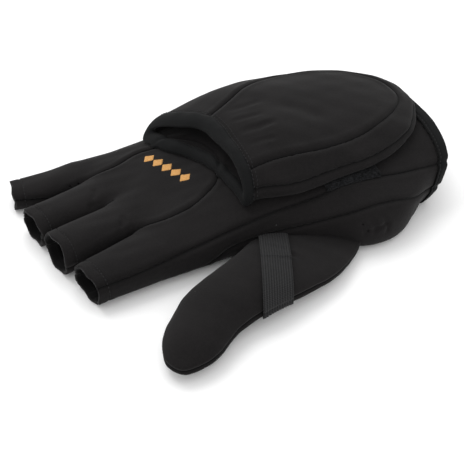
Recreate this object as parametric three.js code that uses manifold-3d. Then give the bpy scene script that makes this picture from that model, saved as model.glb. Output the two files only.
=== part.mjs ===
// Flip-top fishing glove for the right hand, lying palm down with its hood folded back.
// Millimetres, +Z up. The origin is on the palm's flat underside, at the middle of the palm.
// +X runs to the cuff, -X to the fingers, -Y to the thumb.
import * as THREE from "three";
import { mergeVertices } from "three/addons/utils/BufferGeometryUtils.js";
import Module from "manifold-3d";

const wasm = await Module();
wasm.setup();

// Hand
const cuffReach = 129.5; // middle of the palm to the cuff's upper edge
const knuckleReach = 80; // middle of the palm to the finger crotches
const palmWidth = 122;
const palmHeight = 38;
const cuffWidth = 104;
const cuffHeight = 42;
const cuffLean = 0.35; // how far the cuff's lower edge is short of it, per millimetre down
const knuckleSkew = 0.2; // how far the crotch line leans, per millimetre across
const wall = 1.8; // softshell cloth
const clearance = 0.3; // between pieces that touch
const seamGap = 0.4; // between panels at a seam, measured upright

// Fingers
const fingerLength = 44; // crotch line to the cut ends
const fingerWidth = 32;
const fingerHeight = 24;
const hemDepth = 7;
const hemFold = 0.9; // extra thickness where the cloth is turned in

// Thumb
const thumbLength = 161; // from inside the hand to the tip
const thumbWidth = 46;
const thumbHeight = 23;
const thumbTurn = 209.4; // degrees from +X, where the thumb points
const thumbBase = [45, -52]; // where its centre line starts inside the hand

// Elastic strap over the thumb
const strapWidth = 17.5;
const strapThickness = 1.5;
const strapTurn = 247.5; // degrees from +X, along the strap
const strapStart = [-1, -62]; // middle of its end at the hand's side seam
const strapRise = 13; // height of that end
const strapReach = 27; // along the strap from that end to the crown of the thumb

// Tapes and patch
const bindingThickness = 1.4;
const cuffBindingWidth = 8;
const hoodBindingWidth = 9;
const patchLength = 36; // along the hand
const patchWidth = 96; // across the hand
const patchThickness = 1.5;
const patchPlace = 55; // middle of the palm to the patch's middle

// Hood
const hoodReach = 126; // middle of the palm to the hood's closed end
const mouthReach = 12; // middle of the palm to the upper lip
const hoodWidth = 116;
const hoodRise = 28; // crown above the back of the hand
const hoodWall = 2;
const hoodEdge = 6; // depth of its rounded lower edge

// What lies between the hood and the hand is the patch, with a clearance on each side
const hoodClear = patchThickness + 2 * clearance;
const lie = strapThickness + 1.5 * clearance; // the thumb lies on the strap's turned end

const radians = THREE.MathUtils.degToRad;

// Smooth curve through a table's rows. It gives a row of values at any place along the first column.
function alongTable(rows) {
  const keys = Object.keys(rows[0]);
  const places = rows.map((row) => row.at);
  return (at) => {
    let i = 0;
    while (i < rows.length - 2 && at > places[i + 1]) i += 1;
    const span = places[i + 1] - places[i];
    const t = THREE.MathUtils.clamp((at - places[i]) / span, 0, 1);
    const before = Math.max(i - 1, 0);
    const after = Math.min(i + 2, rows.length - 1);
    const value = {};
    for (const key of keys) {
      const a = rows[i][key];
      const b = rows[i + 1][key];
      const slopeA = ((b - rows[before][key]) / (places[i + 1] - places[before])) * span;
      const slopeB = ((rows[after][key] - a) / (places[after] - places[i])) * span;
      const t2 = t * t;
      const t3 = t2 * t;
      value[key] = (2 * t3 - 3 * t2 + 1) * a + (t3 - 2 * t2 + t) * slopeA
        + (3 * t2 - 2 * t3) * b + (t3 - t2) * slopeB;
    }
    value.at = at;
    return value;
  };
}

// One cross-section as [across, up] points: an arch over a waist, and a rounded foot on a flat base.
function section({ near, far, top, base, waist, square, foot, arch = 22, corner = 4 }) {
  const middle = (near + far) / 2;
  const half = (far - near) / 2;
  const points = [];
  for (let i = 0; i <= arch; i += 1) {
    const angle = (Math.PI * i) / arch;
    const out = Math.sign(Math.cos(angle)) * Math.abs(Math.cos(angle)) ** (2 / square);
    const up = Math.max(Math.sin(angle), 0) ** (2 / square);
    points.push([middle + half * out, waist + (top - waist) * up]);
  }
  for (let i = 1; i <= corner; i += 1) {
    const angle = (Math.PI / 2) * (i / corner);
    points.push([near + foot * (1 - Math.cos(angle)), waist - (waist - base) * Math.sin(angle)]);
  }
  for (let i = corner; i >= 1; i -= 1) {
    const angle = (Math.PI / 2) * (i / corner);
    points.push([far - foot * (1 - Math.cos(angle)), waist - (waist - base) * Math.sin(angle)]);
  }
  return points;
}

function solid(geometry) {
  const bare = geometry.index ? geometry.toNonIndexed() : geometry;
  bare.deleteAttribute("normal");
  bare.deleteAttribute("uv");
  const merged = mergeVertices(bare, 1e-5);
  const vertProperties = new Float32Array(merged.attributes.position.array);
  const triVerts = new Uint32Array(merged.index.array);
  return new wasm.Manifold(new wasm.Mesh({ numProp: 3, vertProperties, triVerts }));
}

// Closed solid through rings of points, with flat ends
function loft(rings) {
  const count = rings[0].length;
  const points = rings.flat();
  const triangles = [];
  for (let r = 0; r + 1 < rings.length; r += 1) {
    for (let i = 0; i < count; i += 1) {
      const a = r * count + i;
      const b = r * count + ((i + 1) % count);
      triangles.push(a, b, b + count, a, b + count, a + count);
    }
  }
  const centreOf = (ring) => [0, 1, 2].map((k) => ring.reduce((sum, p) => sum + p[k], 0) / count);
  const first = points.push(centreOf(rings[0])) - 1;
  const last = points.push(centreOf(rings.at(-1))) - 1;
  const lastRing = (rings.length - 1) * count;
  for (let i = 0; i < count; i += 1) {
    const next = (i + 1) % count;
    triangles.push(first, next, i, last, lastRing + i, lastRing + next);
  }
  let volume = 0;
  const corner = new THREE.Vector3();
  for (let i = 0; i < triangles.length; i += 3) {
    const [a, b, c] = [0, 1, 2].map((k) => new THREE.Vector3(...points[triangles[i + k]]));
    volume += a.dot(corner.crossVectors(b, c));
  }
  const facing = volume < 0 ? triangles.toReversed() : triangles;
  const vertProperties = new Float32Array(points.flat());
  const triVerts = new Uint32Array(facing);
  return new wasm.Manifold(new wasm.Mesh({ numProp: 3, vertProperties, triVerts }));
}

// Upright prism over an outline in plan
function prism(outline, low, high) {
  const shape = new THREE.Shape(outline.map(([x, y]) => new THREE.Vector2(x, y)));
  const geometry = new THREE.ExtrudeGeometry(shape, { depth: high - low, bevelEnabled: false });
  geometry.translate(0, 0, low);
  return solid(geometry);
}

const union = (solids) => solids.reduce((sum, one) => sum.add(one));

// The hand's sections. at: -1 crotches, 0 middle of the palm, 1 cuff. near and far: shares of half the width.
// top: share of the height. cuff: how much of the cuff's own size is used. lift: share of the tape's thickness.
const handTable = [
  { at: -1.07, near: 0.74, far: 0.74, top: 0.26, square: 2.4, waist: 0.36, foot: 0.2, cuff: 0, lift: 0 },
  { at: -1.0, near: 0.93, far: 0.92, top: 0.48, square: 2.8, waist: 0.36, foot: 0.2, cuff: 0, lift: 0 },
  { at: -0.88, near: 0.99, far: 0.97, top: 0.62, square: 3.0, waist: 0.36, foot: 0.2, cuff: 0, lift: 0 },
  { at: -0.65, near: 1.0, far: 0.98, top: 0.72, square: 3.2, waist: 0.36, foot: 0.2, cuff: 0, lift: 0 },
  { at: -0.3, near: 0.98, far: 0.98, top: 0.85, square: 3.2, waist: 0.36, foot: 0.2, cuff: 0, lift: 0 },
  { at: 0, near: 1.0, far: 0.98, top: 0.95, square: 3.2, waist: 0.34, foot: 0.18, cuff: 0, lift: 0 },
  { at: 0.2, near: 1.11, far: 0.97, top: 1.0, square: 3.0, waist: 0.3, foot: 0.16, cuff: 0, lift: 0 },
  { at: 0.37, near: 1.3, far: 0.95, top: 1.02, square: 2.8, waist: 0.28, foot: 0.14, cuff: 0, lift: 0 },
  { at: 0.47, near: 1.36, far: 0.94, top: 1.02, square: 2.7, waist: 0.28, foot: 0.13, cuff: 0.05, lift: 0 },
  { at: 0.61, near: 1.35, far: 0.95, top: 1.02, square: 2.6, waist: 0.28, foot: 0.12, cuff: 0.25, lift: 0 },
  { at: 0.76, near: 1.24, far: 0.95, top: 1.01, square: 2.6, waist: 0.32, foot: 0.12, cuff: 0.55, lift: 0.5 },
  { at: 0.86, near: 1.15, far: 0.945, top: 1.0, square: 2.6, waist: 0.36, foot: 0.13, cuff: 0.8, lift: 1 },
  { at: 1, near: 1.04, far: 0.94, top: 1.0, square: 2.6, waist: 0.4, foot: 0.14, cuff: 1, lift: 1 },
];
const handPlaces = [-1.07, -1, -0.88, -0.65, -0.3, 0, 0.2, 0.36, 0.5, 0.68, 0.86, 1];
const handAt = alongTable(handTable);

function handSizes(at) {
  const row = handAt(at);
  const half = THREE.MathUtils.lerp(palmWidth, cuffWidth, row.cuff) / 2;
  const top = THREE.MathUtils.lerp(palmHeight, cuffHeight, row.cuff) * row.top;
  const base = row.lift * (bindingThickness + clearance);
  const waist = base + (top - base) * row.waist;
  return { near: -half * row.near, far: half * row.far, top, base, waist, square: row.square, foot: half * row.foot };
}

const handX = (at) => at * (at < 0 ? knuckleReach : cuffReach);
const handTop = (x) => handSizes(x / (x < 0 ? knuckleReach : cuffReach)).top;

// The hand, grown by some millimetres or shrunk by them. past: how far it runs on through the cuff.
function handLoft(grow, past = 0) {
  const rings = handPlaces.map((at, i) => {
    const { near, far, top, base, waist, square, foot } = handSizes(at);
    const skew = knuckleSkew * THREE.MathUtils.smoothstep(-at, 0.3, 1);
    const lean = cuffLean * THREE.MathUtils.smoothstep(at, 0.5, 1);
    const x = handX(at) - (i === 0 ? grow : 0);
    const sides = { near: near - grow, far: far + grow, top: top + grow, base: base - grow, foot: foot + grow };
    const points = section({ ...sides, waist, square, arch: 16, corner: 2 });
    return points.map(([across, up]) => [x - skew * across - lean * (top - up), across, up]);
  });
  if (past > 0) rings.push(rings.at(-1).map(([x, y, z]) => [x + past, y, z]));
  return loft(rings);
}

// The fingers, as shares: root and end across half the palm, reach of the length, widths and heights of a finger's
const fingerTable = [
  { root: -0.74, end: -0.88, reach: 0.98, rootWide: 1.08, endWide: 0.92, rootHigh: 0.98, endHigh: 0.84 },
  { root: -0.2, end: -0.34, reach: 1.02, rootWide: 1.0, endWide: 0.92, rootHigh: 1.02, endHigh: 0.97 },
  { root: 0.3, end: 0.17, reach: 1.0, rootWide: 0.94, endWide: 0.9, rootHigh: 1.0, endHigh: 0.84 },
  { root: 0.765, end: 0.85, reach: 0.9, rootWide: 0.88, endWide: 0.68, rootHigh: 0.84, endHigh: 0.6 },
];
const fingerPlaces = [-0.75, -0.3, 0.1, 1]; // 0 at the crotch line, 1 at the cut end

// past: the cloth's inside runs on through the cut end, with the turned hem standing in from it
function fingerLoft(finger, grow, past = 0) {
  const halfPalm = palmWidth / 2;
  const length = fingerLength * finger.reach;
  const rootY = finger.root * halfPalm;
  const endY = finger.end * halfPalm;
  const rootX = -knuckleReach - knuckleSkew * rootY;
  const turn = Math.atan2(endY - rootY, -length);
  const ring = (place, inset, further = 0) => {
    const blend = THREE.MathUtils.clamp(place, 0, 1);
    const wide = THREE.MathUtils.lerp(finger.rootWide, finger.endWide, blend) * fingerWidth;
    const high = THREE.MathUtils.lerp(finger.rootHigh, finger.endHigh, blend) * fingerHeight;
    const sunk = place < 0 ? 0.04 * place * fingerHeight : 0;
    const half = (wide / 2) * (1 + 0.12 * Math.min(place, 0)) - inset;
    const top = high + sunk - inset;
    const points = section({
      near: -half, far: half, top, base: inset, waist: high * 0.46, square: 2.4, foot: half * 0.75, arch: 10, corner: 2,
    });
    const lean = place < 0 ? Math.PI : turn;
    const x = rootX - place * length - further;
    const y = rootY + (endY - rootY) * Math.max(place, 0);
    return points.map(([across, up]) => [x + Math.sin(lean) * across, y - Math.cos(lean) * across, up]);
  };
  const rings = fingerPlaces.slice(0, -1).map((place) => ring(place, -grow));
  if (past > 0) {
    const hemPlace = 1 - hemDepth / length;
    rings.push(ring(hemPlace, -grow), ring(hemPlace, hemFold - grow, 0.4), ring(1, hemFold - grow, past));
  } else {
    rings.push(ring(1, -grow));
  }
  return loft(rings);
}

// The thumb's centre line and sections. at: share of the length. aside: share of the width, to the viewer's side.
const thumbTable = [
  { at: 0, aside: 0, half: 0.48, high: 0.42, lift: 0 },
  { at: 0.151, aside: 0.052, half: 0.587, high: 0.52, lift: 0.3 },
  { at: 0.276, aside: 0.079, half: 0.609, high: 0.72, lift: 0.8 },
  { at: 0.402, aside: 0.058, half: 0.554, high: 0.92, lift: 1 },
  { at: 0.513, aside: 0, half: 0.489, high: 1.0, lift: 1 },
  { at: 0.614, aside: -0.06, half: 0.45, high: 0.98, lift: 1 },
  { at: 0.721, aside: -0.085, half: 0.42, high: 0.93, lift: 0.7 },
  { at: 0.817, aside: -0.035, half: 0.395, high: 0.86, lift: 0.4 },
  { at: 0.92, aside: 0.06, half: 0.39, high: 0.82, lift: 0.3 },
  { at: 1, aside: 0.15, half: 0.38, high: 0.78, lift: 0.3 },
];
const thumbAt = alongTable(thumbTable);
const tipStart = 0.8; // where the thumb starts to round off

const roundOff = (at, start, power = 2) => {
  const share = THREE.MathUtils.clamp((at - start) / (1 - start), 0, 1);
  return Math.sqrt(Math.max(1 - share ** power, 0));
};
// Places along a round end, closer together towards the tip
const endPlaces = (start, steps) =>
  Array.from({ length: steps }, (_, i) => start + (1 - start) * Math.sin(((i + 1) / (steps + 0.3)) * (Math.PI / 2)));

const thumbDirection = new THREE.Vector2(Math.cos(radians(thumbTurn)), Math.sin(radians(thumbTurn)));
const thumbSide = new THREE.Vector2(-thumbDirection.y, thumbDirection.x);
function thumbCentre(at) {
  const { aside } = thumbAt(at);
  const centre = new THREE.Vector2(...thumbBase);
  return centre.addScaledVector(thumbDirection, at * thumbLength).addScaledVector(thumbSide, aside * thumbWidth);
}

function thumbRing(at, grow, shape) {
  const { half, high, lift } = thumbAt(at);
  const ahead = thumbCentre(Math.min(at + 0.02, 1)).sub(thumbCentre(Math.max(at - 0.02, 0))).normalize();
  const centre = thumbCentre(at);
  const round = roundOff(at, tipStart);
  const base = lift * lie;
  const waist = base + (high * thumbHeight - base) * 0.46;
  const sizes = {
    half: half * thumbWidth * round + grow,
    top: waist + (high * thumbHeight - waist) * round + grow,
    base: waist - (waist - base) * round - grow,
    waist,
  };
  return shape(sizes).map(([across, up]) => [centre.x - ahead.y * across, centre.y + ahead.x * across, up]);
}

const thumbPlaces = [0, 0.15, 0.27, 0.37, 0.47, 0.58, 0.69, 0.8];
function thumbLoft(grow) {
  const shape = ({ half, top, base, waist }) =>
    section({ near: -half, far: half, top, base, waist, square: 2.2, foot: half * 0.8, arch: 12, corner: 3 });
  const places = [...thumbPlaces, ...endPlaces(tipStart, 4)];
  const shrink = 1 + Math.min(grow, 0) / (thumbLength * (1 - tipStart)); // keeps the wall at the tip
  return loft(places.map((at) => thumbRing(at > tipStart ? tipStart + (at - tipStart) * shrink : at, grow, shape)));
}

// Everything above or below the seam that runs round the thumb's outline
function thumbHalf(upper) {
  const shift = upper ? seamGap / 2 : -seamGap / 2;
  const end = upper ? 2 * palmHeight : -palmHeight;
  const slab = ({ waist }) => {
    const side = 0.7 * thumbWidth;
    return [[-side, waist + shift], [side, waist + shift], [side, end], [-side, end]];
  };
  const rings = [0, 0.16, 0.32, 0.5, 0.7, 0.85, 1].map((at) => thumbRing(at, 0, slab));
  const beyond = rings.at(-1).map(([x, y, z]) => [x + thumbDirection.x * wall, y + thumbDirection.y * wall, z]);
  return loft([...rings, beyond]);
}

// The hood's sections, from in front of the mouth to the closed end. at: share of its reach past the start.
// near and far: shares of half its width. rise: share of its rise. waist: its widest line above the hand.
const hoodStart = -0.5 * hoodReach;
const hoodTable = [
  { at: 0, near: 0.8, far: 0.8, rise: 0.5, waist: 0.05 },
  { at: 0.17, near: 0.82, far: 0.92, rise: 0.62, waist: 0.05 },
  { at: 0.29, near: 0.85, far: 0.99, rise: 0.8, waist: 0.05 },
  { at: 0.42, near: 0.97, far: 1.0, rise: 0.97, waist: 0.05 },
  { at: 0.52, near: 0.96, far: 0.99, rise: 0.95, waist: 0.05 },
  { at: 0.61, near: 0.93, far: 0.97, rise: 0.88, waist: 0.05 },
  { at: 0.78, near: 0.88, far: 0.92, rise: 0.76, waist: 0.07 },
  { at: 0.92, near: 0.83, far: 0.88, rise: 0.62, waist: 0.12 },
  { at: 1, near: 0.8, far: 0.84, rise: 0.5, waist: 0.16 },
];
const hoodAt = alongTable(hoodTable);
const hoodRoundStart = 0.65;
const hoodPlaces = [0, 0.2, 0.29, 0.38, 0.47, 0.56, 0.65];

function hoodLoft(grow) {
  const places = [...hoodPlaces, ...endPlaces(hoodRoundStart, 6)];
  const length = hoodReach - hoodStart;
  const shrink = 1 + Math.min(grow, 0) / (length * (1 - hoodRoundStart));
  return loft(places.map((place) => {
    const at = place > hoodRoundStart ? hoodRoundStart + (place - hoodRoundStart) * shrink : place;
    const row = hoodAt(at);
    const round = roundOff(at, hoodRoundStart, 2.4);
    const x = hoodStart + at * length;
    const half = (hoodWidth / 2) * round;
    const back = handTop(Math.min(x, cuffReach));
    const waist = back + row.waist * hoodRise;
    const points = section({
      near: -half * row.near - grow,
      far: half * row.far + grow,
      top: waist + (row.rise - row.waist) * hoodRise * round ** 0.7 + grow,
      base: waist - hoodEdge * round - grow,
      waist,
      square: 2.2,
      foot: hoodEdge * 1.4 * round + grow,
      arch: 16,
      corner: 2,
    });
    return points.map(([across, up]) => [x, across, up]);
  }));
}

// The hood's mouth. at: across, as a share of half the hood's width. ahead: upper lip in front of mouthReach, as a
// share of the hood's rise. lean: how far the lower lip is in front of it, per millimetre down.
const mouthTable = [
  { at: -1.2, ahead: -0.16, lean: 0.2 },
  { at: -0.55, ahead: -0.06, lean: 0.22 },
  { at: -0.2, ahead: -0.02, lean: 0.3 },
  { at: 0.17, ahead: 0.06, lean: 0.48 },
  { at: 0.43, ahead: 0.22, lean: 0.66 },
  { at: 0.72, ahead: 0.36, lean: 0.68 },
  { at: 1.2, ahead: 0.5, lean: 0.5 },
];
const mouthAt = alongTable(mouthTable);

// Everything further into the hood than a surface that lies some millimetres behind its mouth
function behindMouth(depth) {
  const level = handTop(-mouthReach) + 0.77 * hoodRise;
  const heights = Array.from({ length: 6 }, (_, i) => (0.4 + 0.28 * i) * palmHeight);
  const places = Array.from({ length: 13 }, (_, i) => -1.2 + 0.2 * i);
  return loft(places.map((at) => {
    const { ahead, lean } = mouthAt(at);
    const y = (at * hoodWidth) / 2;
    const lip = -mouthReach - ahead * hoodRise + depth * Math.hypot(1, lean);
    const front = heights.map((z) => [lip - lean * (level - z), z]);
    return [...front, [2 * cuffReach, heights.at(-1)], [2 * cuffReach, heights[0]]].map(([x, z]) => [x, y, z]);
  }));
}


// Seams of the hand. at: as in the hand's table. near: across, as a share of half the palm. up: share of the
// palm's height. inside: height of the cut inside the glove, the same share. It follows the fingers' sides.
// turn: where the lower seam's cut turns up inside the glove, so that it takes only the near side.
const upperSeamTable = [
  { at: -1.8, near: -1.09, up: 0.22, inside: 0.26 },
  { at: -1.25, near: -1.08, up: 0.25, inside: 0.26 },
  { at: -0.75, near: -1.01, up: 0.34, inside: 0.3 },
  { at: -0.3, near: -0.96, up: 0.53, inside: 0.36 },
  { at: 0.02, near: -0.94, up: 0.7, inside: 0.38 },
  { at: 0.25, near: -0.95, up: 0.84, inside: 0.4 },
  { at: 0.38, near: -0.92, up: 0.93, inside: 0.42 },
  { at: 0.54, near: -0.95, up: 0.925, inside: 0.42 },
  { at: 0.7, near: -0.96, up: 0.88, inside: 0.42 },
  { at: 1.1, near: -0.86, up: 0.76, inside: 0.42 },
];
const lowerSeamTable = [
  { at: -1.8, near: -1.09, up: 0.09, inside: 0.1, turn: -0.88 },
  { at: -0.6, near: -0.98, up: 0.09, inside: 0.1, turn: -0.8 },
  { at: -0.34, near: -0.98, up: 0.36, inside: 0.3, turn: -0.72 },
  { at: -0.12, near: -1.0, up: 0.42, inside: 0.34, turn: -0.7 },
  { at: 0.06, near: -1.03, up: 0.47, inside: 0.36, turn: -0.7 },
  { at: 0.2, near: -1.09, up: 0.55, inside: 0.38, turn: -0.7 },
  { at: 0.34, near: -1.19, up: 0.68, inside: 0.4, turn: -0.7 },
  { at: 0.49, near: -1.22, up: 0.74, inside: 0.42, turn: -0.7 },
  { at: 0.7, near: -1.1, up: 0.55, inside: 0.36, turn: -0.7 },
  { at: 1.1, near: -0.86, up: 0.22, inside: 0.22, turn: -0.5 },
];
const seamInward = 0.28; // from the seam to where its cut levels out, as a share of half the palm

// Everything above or below a cut that starts at a seam, runs inwards and then across the hollow
function seamCut(table, above) {
  const halfPalm = palmWidth / 2;
  const shift = above ? seamGap / 2 : -seamGap / 2;
  const low = -palmHeight;
  const high = 4 * palmHeight;
  const beyond = above ? high : low;
  return loft(table.map(({ at, near, up, inside, turn }) => {
    const seam = [near * halfPalm, up * palmHeight + shift];
    const inner = [seam[0] + seamInward * halfPalm, inside * palmHeight + shift];
    const outer = [3 * seam[0] - 2 * inner[0], 3 * seam[1] - 2 * inner[1]];
    const end = turn === undefined ? [2 * halfPalm, inner[1]] : [turn * halfPalm, high];
    const middle = turn === undefined ? [0, inner[1]] : [turn * halfPalm, inner[1]];
    const far = turn !== undefined && !above ? [[2 * halfPalm, high], [2 * halfPalm, low]] : [[end[0], beyond]];
    const points = [outer, inner, middle, end, ...far, [outer[0], beyond]];
    return points.map(([y, z]) => [handX(at), y, z]);
  }));
}

// A smooth closed outline in plan, moved out by some millimetres or in by them
function planOutline(points, lengths, offset, steps = 32) {
  const curve = new THREE.SplineCurve(points.map(([x, y]) => new THREE.Vector2(x * lengths[0], y * lengths[1])));
  const along = Array.from({ length: steps + 1 }, (_, i) => i / steps);
  return along.map((t) => {
    const point = curve.getPoint(t);
    const ahead = curve.getTangent(t);
    return [point.x + ahead.y * offset, point.y - ahead.x * offset];
  });
}

// Middle of the back, as shares of the knuckle reach and half the palm: out between the index and middle fingers,
// round under the hood and back between the ring and little fingers
const tonguePoints = [
  [-1.8, -0.63], [-1.4, -0.6], [-1.1, -0.5], [-0.91, -0.46], [-0.76, -0.52], [-0.59, -0.53], [-0.47, -0.5],
  [-0.35, -0.42], [-0.25, -0.33], [-0.16, -0.15], [-0.14, 0.08], [-0.2, 0.32], [-0.36, 0.53], [-0.6, 0.62],
  [-0.84, 0.53], [-1.06, 0.54], [-1.4, 0.53], [-1.8, 0.52],
];
const tongue = (offset) =>
  prism(planOutline(tonguePoints, [knuckleReach, palmWidth / 2], offset), -palmHeight, 3 * palmHeight);

// Everything further from the fingers than a surface some millimetres in from the cuff's edge
function beyondCuff(depth) {
  const edgeX = (z) => cuffReach - cuffLean * (cuffHeight - z) - depth;
  const low = -palmHeight;
  const high = 3 * palmHeight;
  const corners = [[edgeX(low), low], [edgeX(high), high], [2 * cuffReach, high], [2 * cuffReach, low]];
  return loft([-palmWidth, palmWidth].map((y) => corners.map(([x, z]) => [x, y, z])));
}

const bodyLoft = (grow, past = 0) =>
  union([handLoft(grow, past), ...fingerTable.map((finger) => fingerLoft(finger, grow, past))]);
const past = 12; // how far a hollow runs on through an open end

// Glove body: one shell, cut into its panels
const tapeInset = bindingThickness + clearance;
const body = bodyLoft(0);
const bodyShell = body.subtract(bodyLoft(-wall, past)).subtract(beyondCuff(tapeInset));
const backs = bodyShell.intersect(seamCut(upperSeamTable, true));
const sides = bodyShell.intersect(seamCut(upperSeamTable, false));
const backPanel = backs.subtract(tongue(seamGap / 2));
const backCentrePanel = backs.intersect(tongue(-seamGap / 2));
const sideStrip = sides.intersect(seamCut(lowerSeamTable, true));
const palmPanel = sides.intersect(seamCut(lowerSeamTable, false)).subtract(thumbLoft(-wall));

// Cuff tape, folded over the edge
const cuffCover = handLoft(tapeInset, past).subtract(handLoft(-wall - tapeInset, 2 * past));
const cuffEdge = handLoft(clearance, past).subtract(handLoft(-wall - clearance, 2 * past));
const cuffBinding = cuffCover
  .intersect(beyondCuff(cuffBindingWidth))
  .subtract(beyondCuff(0))
  .subtract(cuffEdge.subtract(beyondCuff(bindingThickness)));

// Thumb, sewn to the edge of the hole in the palm
const thumbShell = thumbLoft(0).subtract(thumbLoft(-wall)).subtract(bodyLoft(clearance));
const thumbUpperPanel = thumbShell.intersect(thumbHalf(true));
const thumbLowerPanel = thumbShell.intersect(thumbHalf(false));

// Strap: a layer over the thumb and over the straight way from the hand to the thumb's crown
const strapAlong = new THREE.Vector2(Math.cos(radians(strapTurn)), Math.sin(radians(strapTurn)));
const strapAcross = new THREE.Vector2(-strapAlong.y, strapAlong.x);
const strapPoint = (along, across) =>
  new THREE.Vector2(...strapStart).addScaledVector(strapAlong, along).addScaledVector(strapAcross, across).toArray();
function strapWay(rise) {
  const crown = thumbHeight * 0.93 + clearance;
  const sunk = -0.4 * strapReach;
  const start = strapRise + ((crown - strapRise) / strapReach) * sunk;
  const profile = [[sunk, start + rise], [strapReach, crown + rise], [strapReach, -palmHeight], [sunk, -palmHeight]];
  return loft([-strapWidth, strapWidth].map((across) =>
    profile.map(([along, z]) => [...strapPoint(along, across), z])));
}
const strapBand = prism([[-0.35, -1], [3, -1], [3, 1], [-0.35, 1]].map(([along, across]) =>
  strapPoint(along * strapReach, (across * strapWidth) / 2)), 0, 2 * palmHeight);
const thumbStrap = thumbLoft(clearance + strapThickness)
  .add(strapWay(strapThickness))
  .subtract(thumbLoft(clearance).add(strapWay(0)))
  .intersect(strapBand)
  .subtract(bodyLoft(clearance));

// Loop patch, between the near seam and the far side of the hand
const patchLow = handX(0) + patchPlace - patchLength / 2;
const patchNear = -0.9 * (palmWidth / 2);
const patchArea = prism([
  [patchLow, patchNear], [patchLow + patchLength, patchNear - 1.5],
  [patchLow + patchLength, patchNear + patchWidth], [patchLow, patchNear + patchWidth],
], palmHeight / 2, 3 * palmHeight);
const loopPatch = handLoft(clearance + patchThickness).subtract(handLoft(clearance)).intersect(patchArea);

// Hood: one shell, open at its mouth, cut into its panels
const hoodBody = (grow) => hoodLoft(grow).subtract(bodyLoft(hoodClear - grow));
const hoodShell = hoodBody(0).subtract(hoodBody(-hoodWall)).intersect(behindMouth(tapeInset));

const underSeamShare = 0.24; // height of its lower seam above the back of the hand, as a share of the hood's rise
function overUnderSeam(above) {
  const shift = above ? seamGap / 2 : -seamGap / 2;
  const beyond = above ? 4 * palmHeight : -palmHeight;
  return loft([-0.6, -0.3, 0, 0.3, 0.6, 0.8, 1].map((at) => {
    const x = at * (at < 1 ? hoodReach : 1.1 * hoodReach);
    const z = handTop(Math.min(x, cuffReach)) + underSeamShare * hoodRise + shift;
    return [[x, -hoodWidth, z], [x, hoodWidth, z], [x, hoodWidth, beyond], [x, -hoodWidth, beyond]];
  }));
}

// The top panel's outline, as shares of the hood's reach and half its width. It starts and ends before the mouth.
const ovalPoints = [
  [-0.45, -0.6], [-0.2, -0.64], [0.01, -0.69], [0.18, -0.75], [0.37, -0.74], [0.56, -0.665], [0.69, -0.55],
  [0.81, -0.37], [0.885, -0.18], [0.91, 0.04], [0.885, 0.26], [0.8, 0.47], [0.68, 0.62], [0.52, 0.7],
  [0.36, 0.68], [0.22, 0.57], [0.06, 0.38], [-0.09, 0.25], [-0.25, 0.14], [-0.45, 0.02],
];
const oval = (offset) => prism(planOutline(ovalPoints, [hoodReach, hoodWidth / 2], offset), 0, 4 * palmHeight);

const hoodUnderPanel = hoodShell.intersect(overUnderSeam(false));
const hoodUpper = hoodShell.intersect(overUnderSeam(true));
const hoodTopPanel = hoodUpper.intersect(oval(-seamGap / 2));
const hoodGusset = hoodUpper.subtract(oval(seamGap / 2));

// Mouth tape, folded over both lips
const lipCover = hoodBody(tapeInset).subtract(hoodBody(-hoodWall - tapeInset));
const lipEdge = hoodBody(clearance).subtract(hoodBody(-hoodWall - clearance));
const hoodBinding = lipCover
  .intersect(behindMouth(0))
  .subtract(behindMouth(hoodBindingWidth))
  .subtract(lipEdge.intersect(behindMouth(bindingThickness)));

const group = new THREE.Group();
function addNode(name, made, colour, roughness) {
  const mesh = made.getMesh();
  const geometry = new THREE.BufferGeometry();
  geometry.setAttribute("position", new THREE.BufferAttribute(new Float32Array(mesh.vertProperties), 3));
  geometry.setIndex(new THREE.BufferAttribute(new Uint32Array(mesh.triVerts), 1));
  const material = new THREE.MeshStandardMaterial({ color: colour, roughness, metalness: 0 });
  const node = new THREE.Mesh(geometry, material);
  node.name = name;
  group.add(node);
}

const softshell = 0x262526;
addNode("back_panel", backPanel, softshell, 0.85);
addNode("back_centre_panel", backCentrePanel, softshell, 0.85);
addNode("side_strip", sideStrip, softshell, 0.85);
addNode("palm_panel", palmPanel, softshell, 0.85);
addNode("thumb_upper_panel", thumbUpperPanel, softshell, 0.85);
addNode("thumb_lower_panel", thumbLowerPanel, softshell, 0.85);
addNode("thumb_strap", thumbStrap, 0x323232, 0.7);
addNode("loop_patch", loopPatch, 0x1f1f21, 1);
addNode("cuff_binding", cuffBinding, 0x2a2c2d, 0.8);
addNode("hood_under_panel", hoodUnderPanel, softshell, 0.85);
addNode("hood_gusset", hoodGusset, softshell, 0.85);
addNode("hood_top_panel", hoodTopPanel, softshell, 0.85);
addNode("hood_binding", hoodBinding, 0x2a2c2d, 0.8);

export default group;
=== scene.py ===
# Flip-top fishing glove for the right hand, lying palm down with its hood folded back.
# Lengths are in millimetres and become metres when a mesh is made. +X runs to the cuff, -X to the fingers,
# -Y to the thumb, and +Z up from the surface that the palm lies on.
import math

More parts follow.
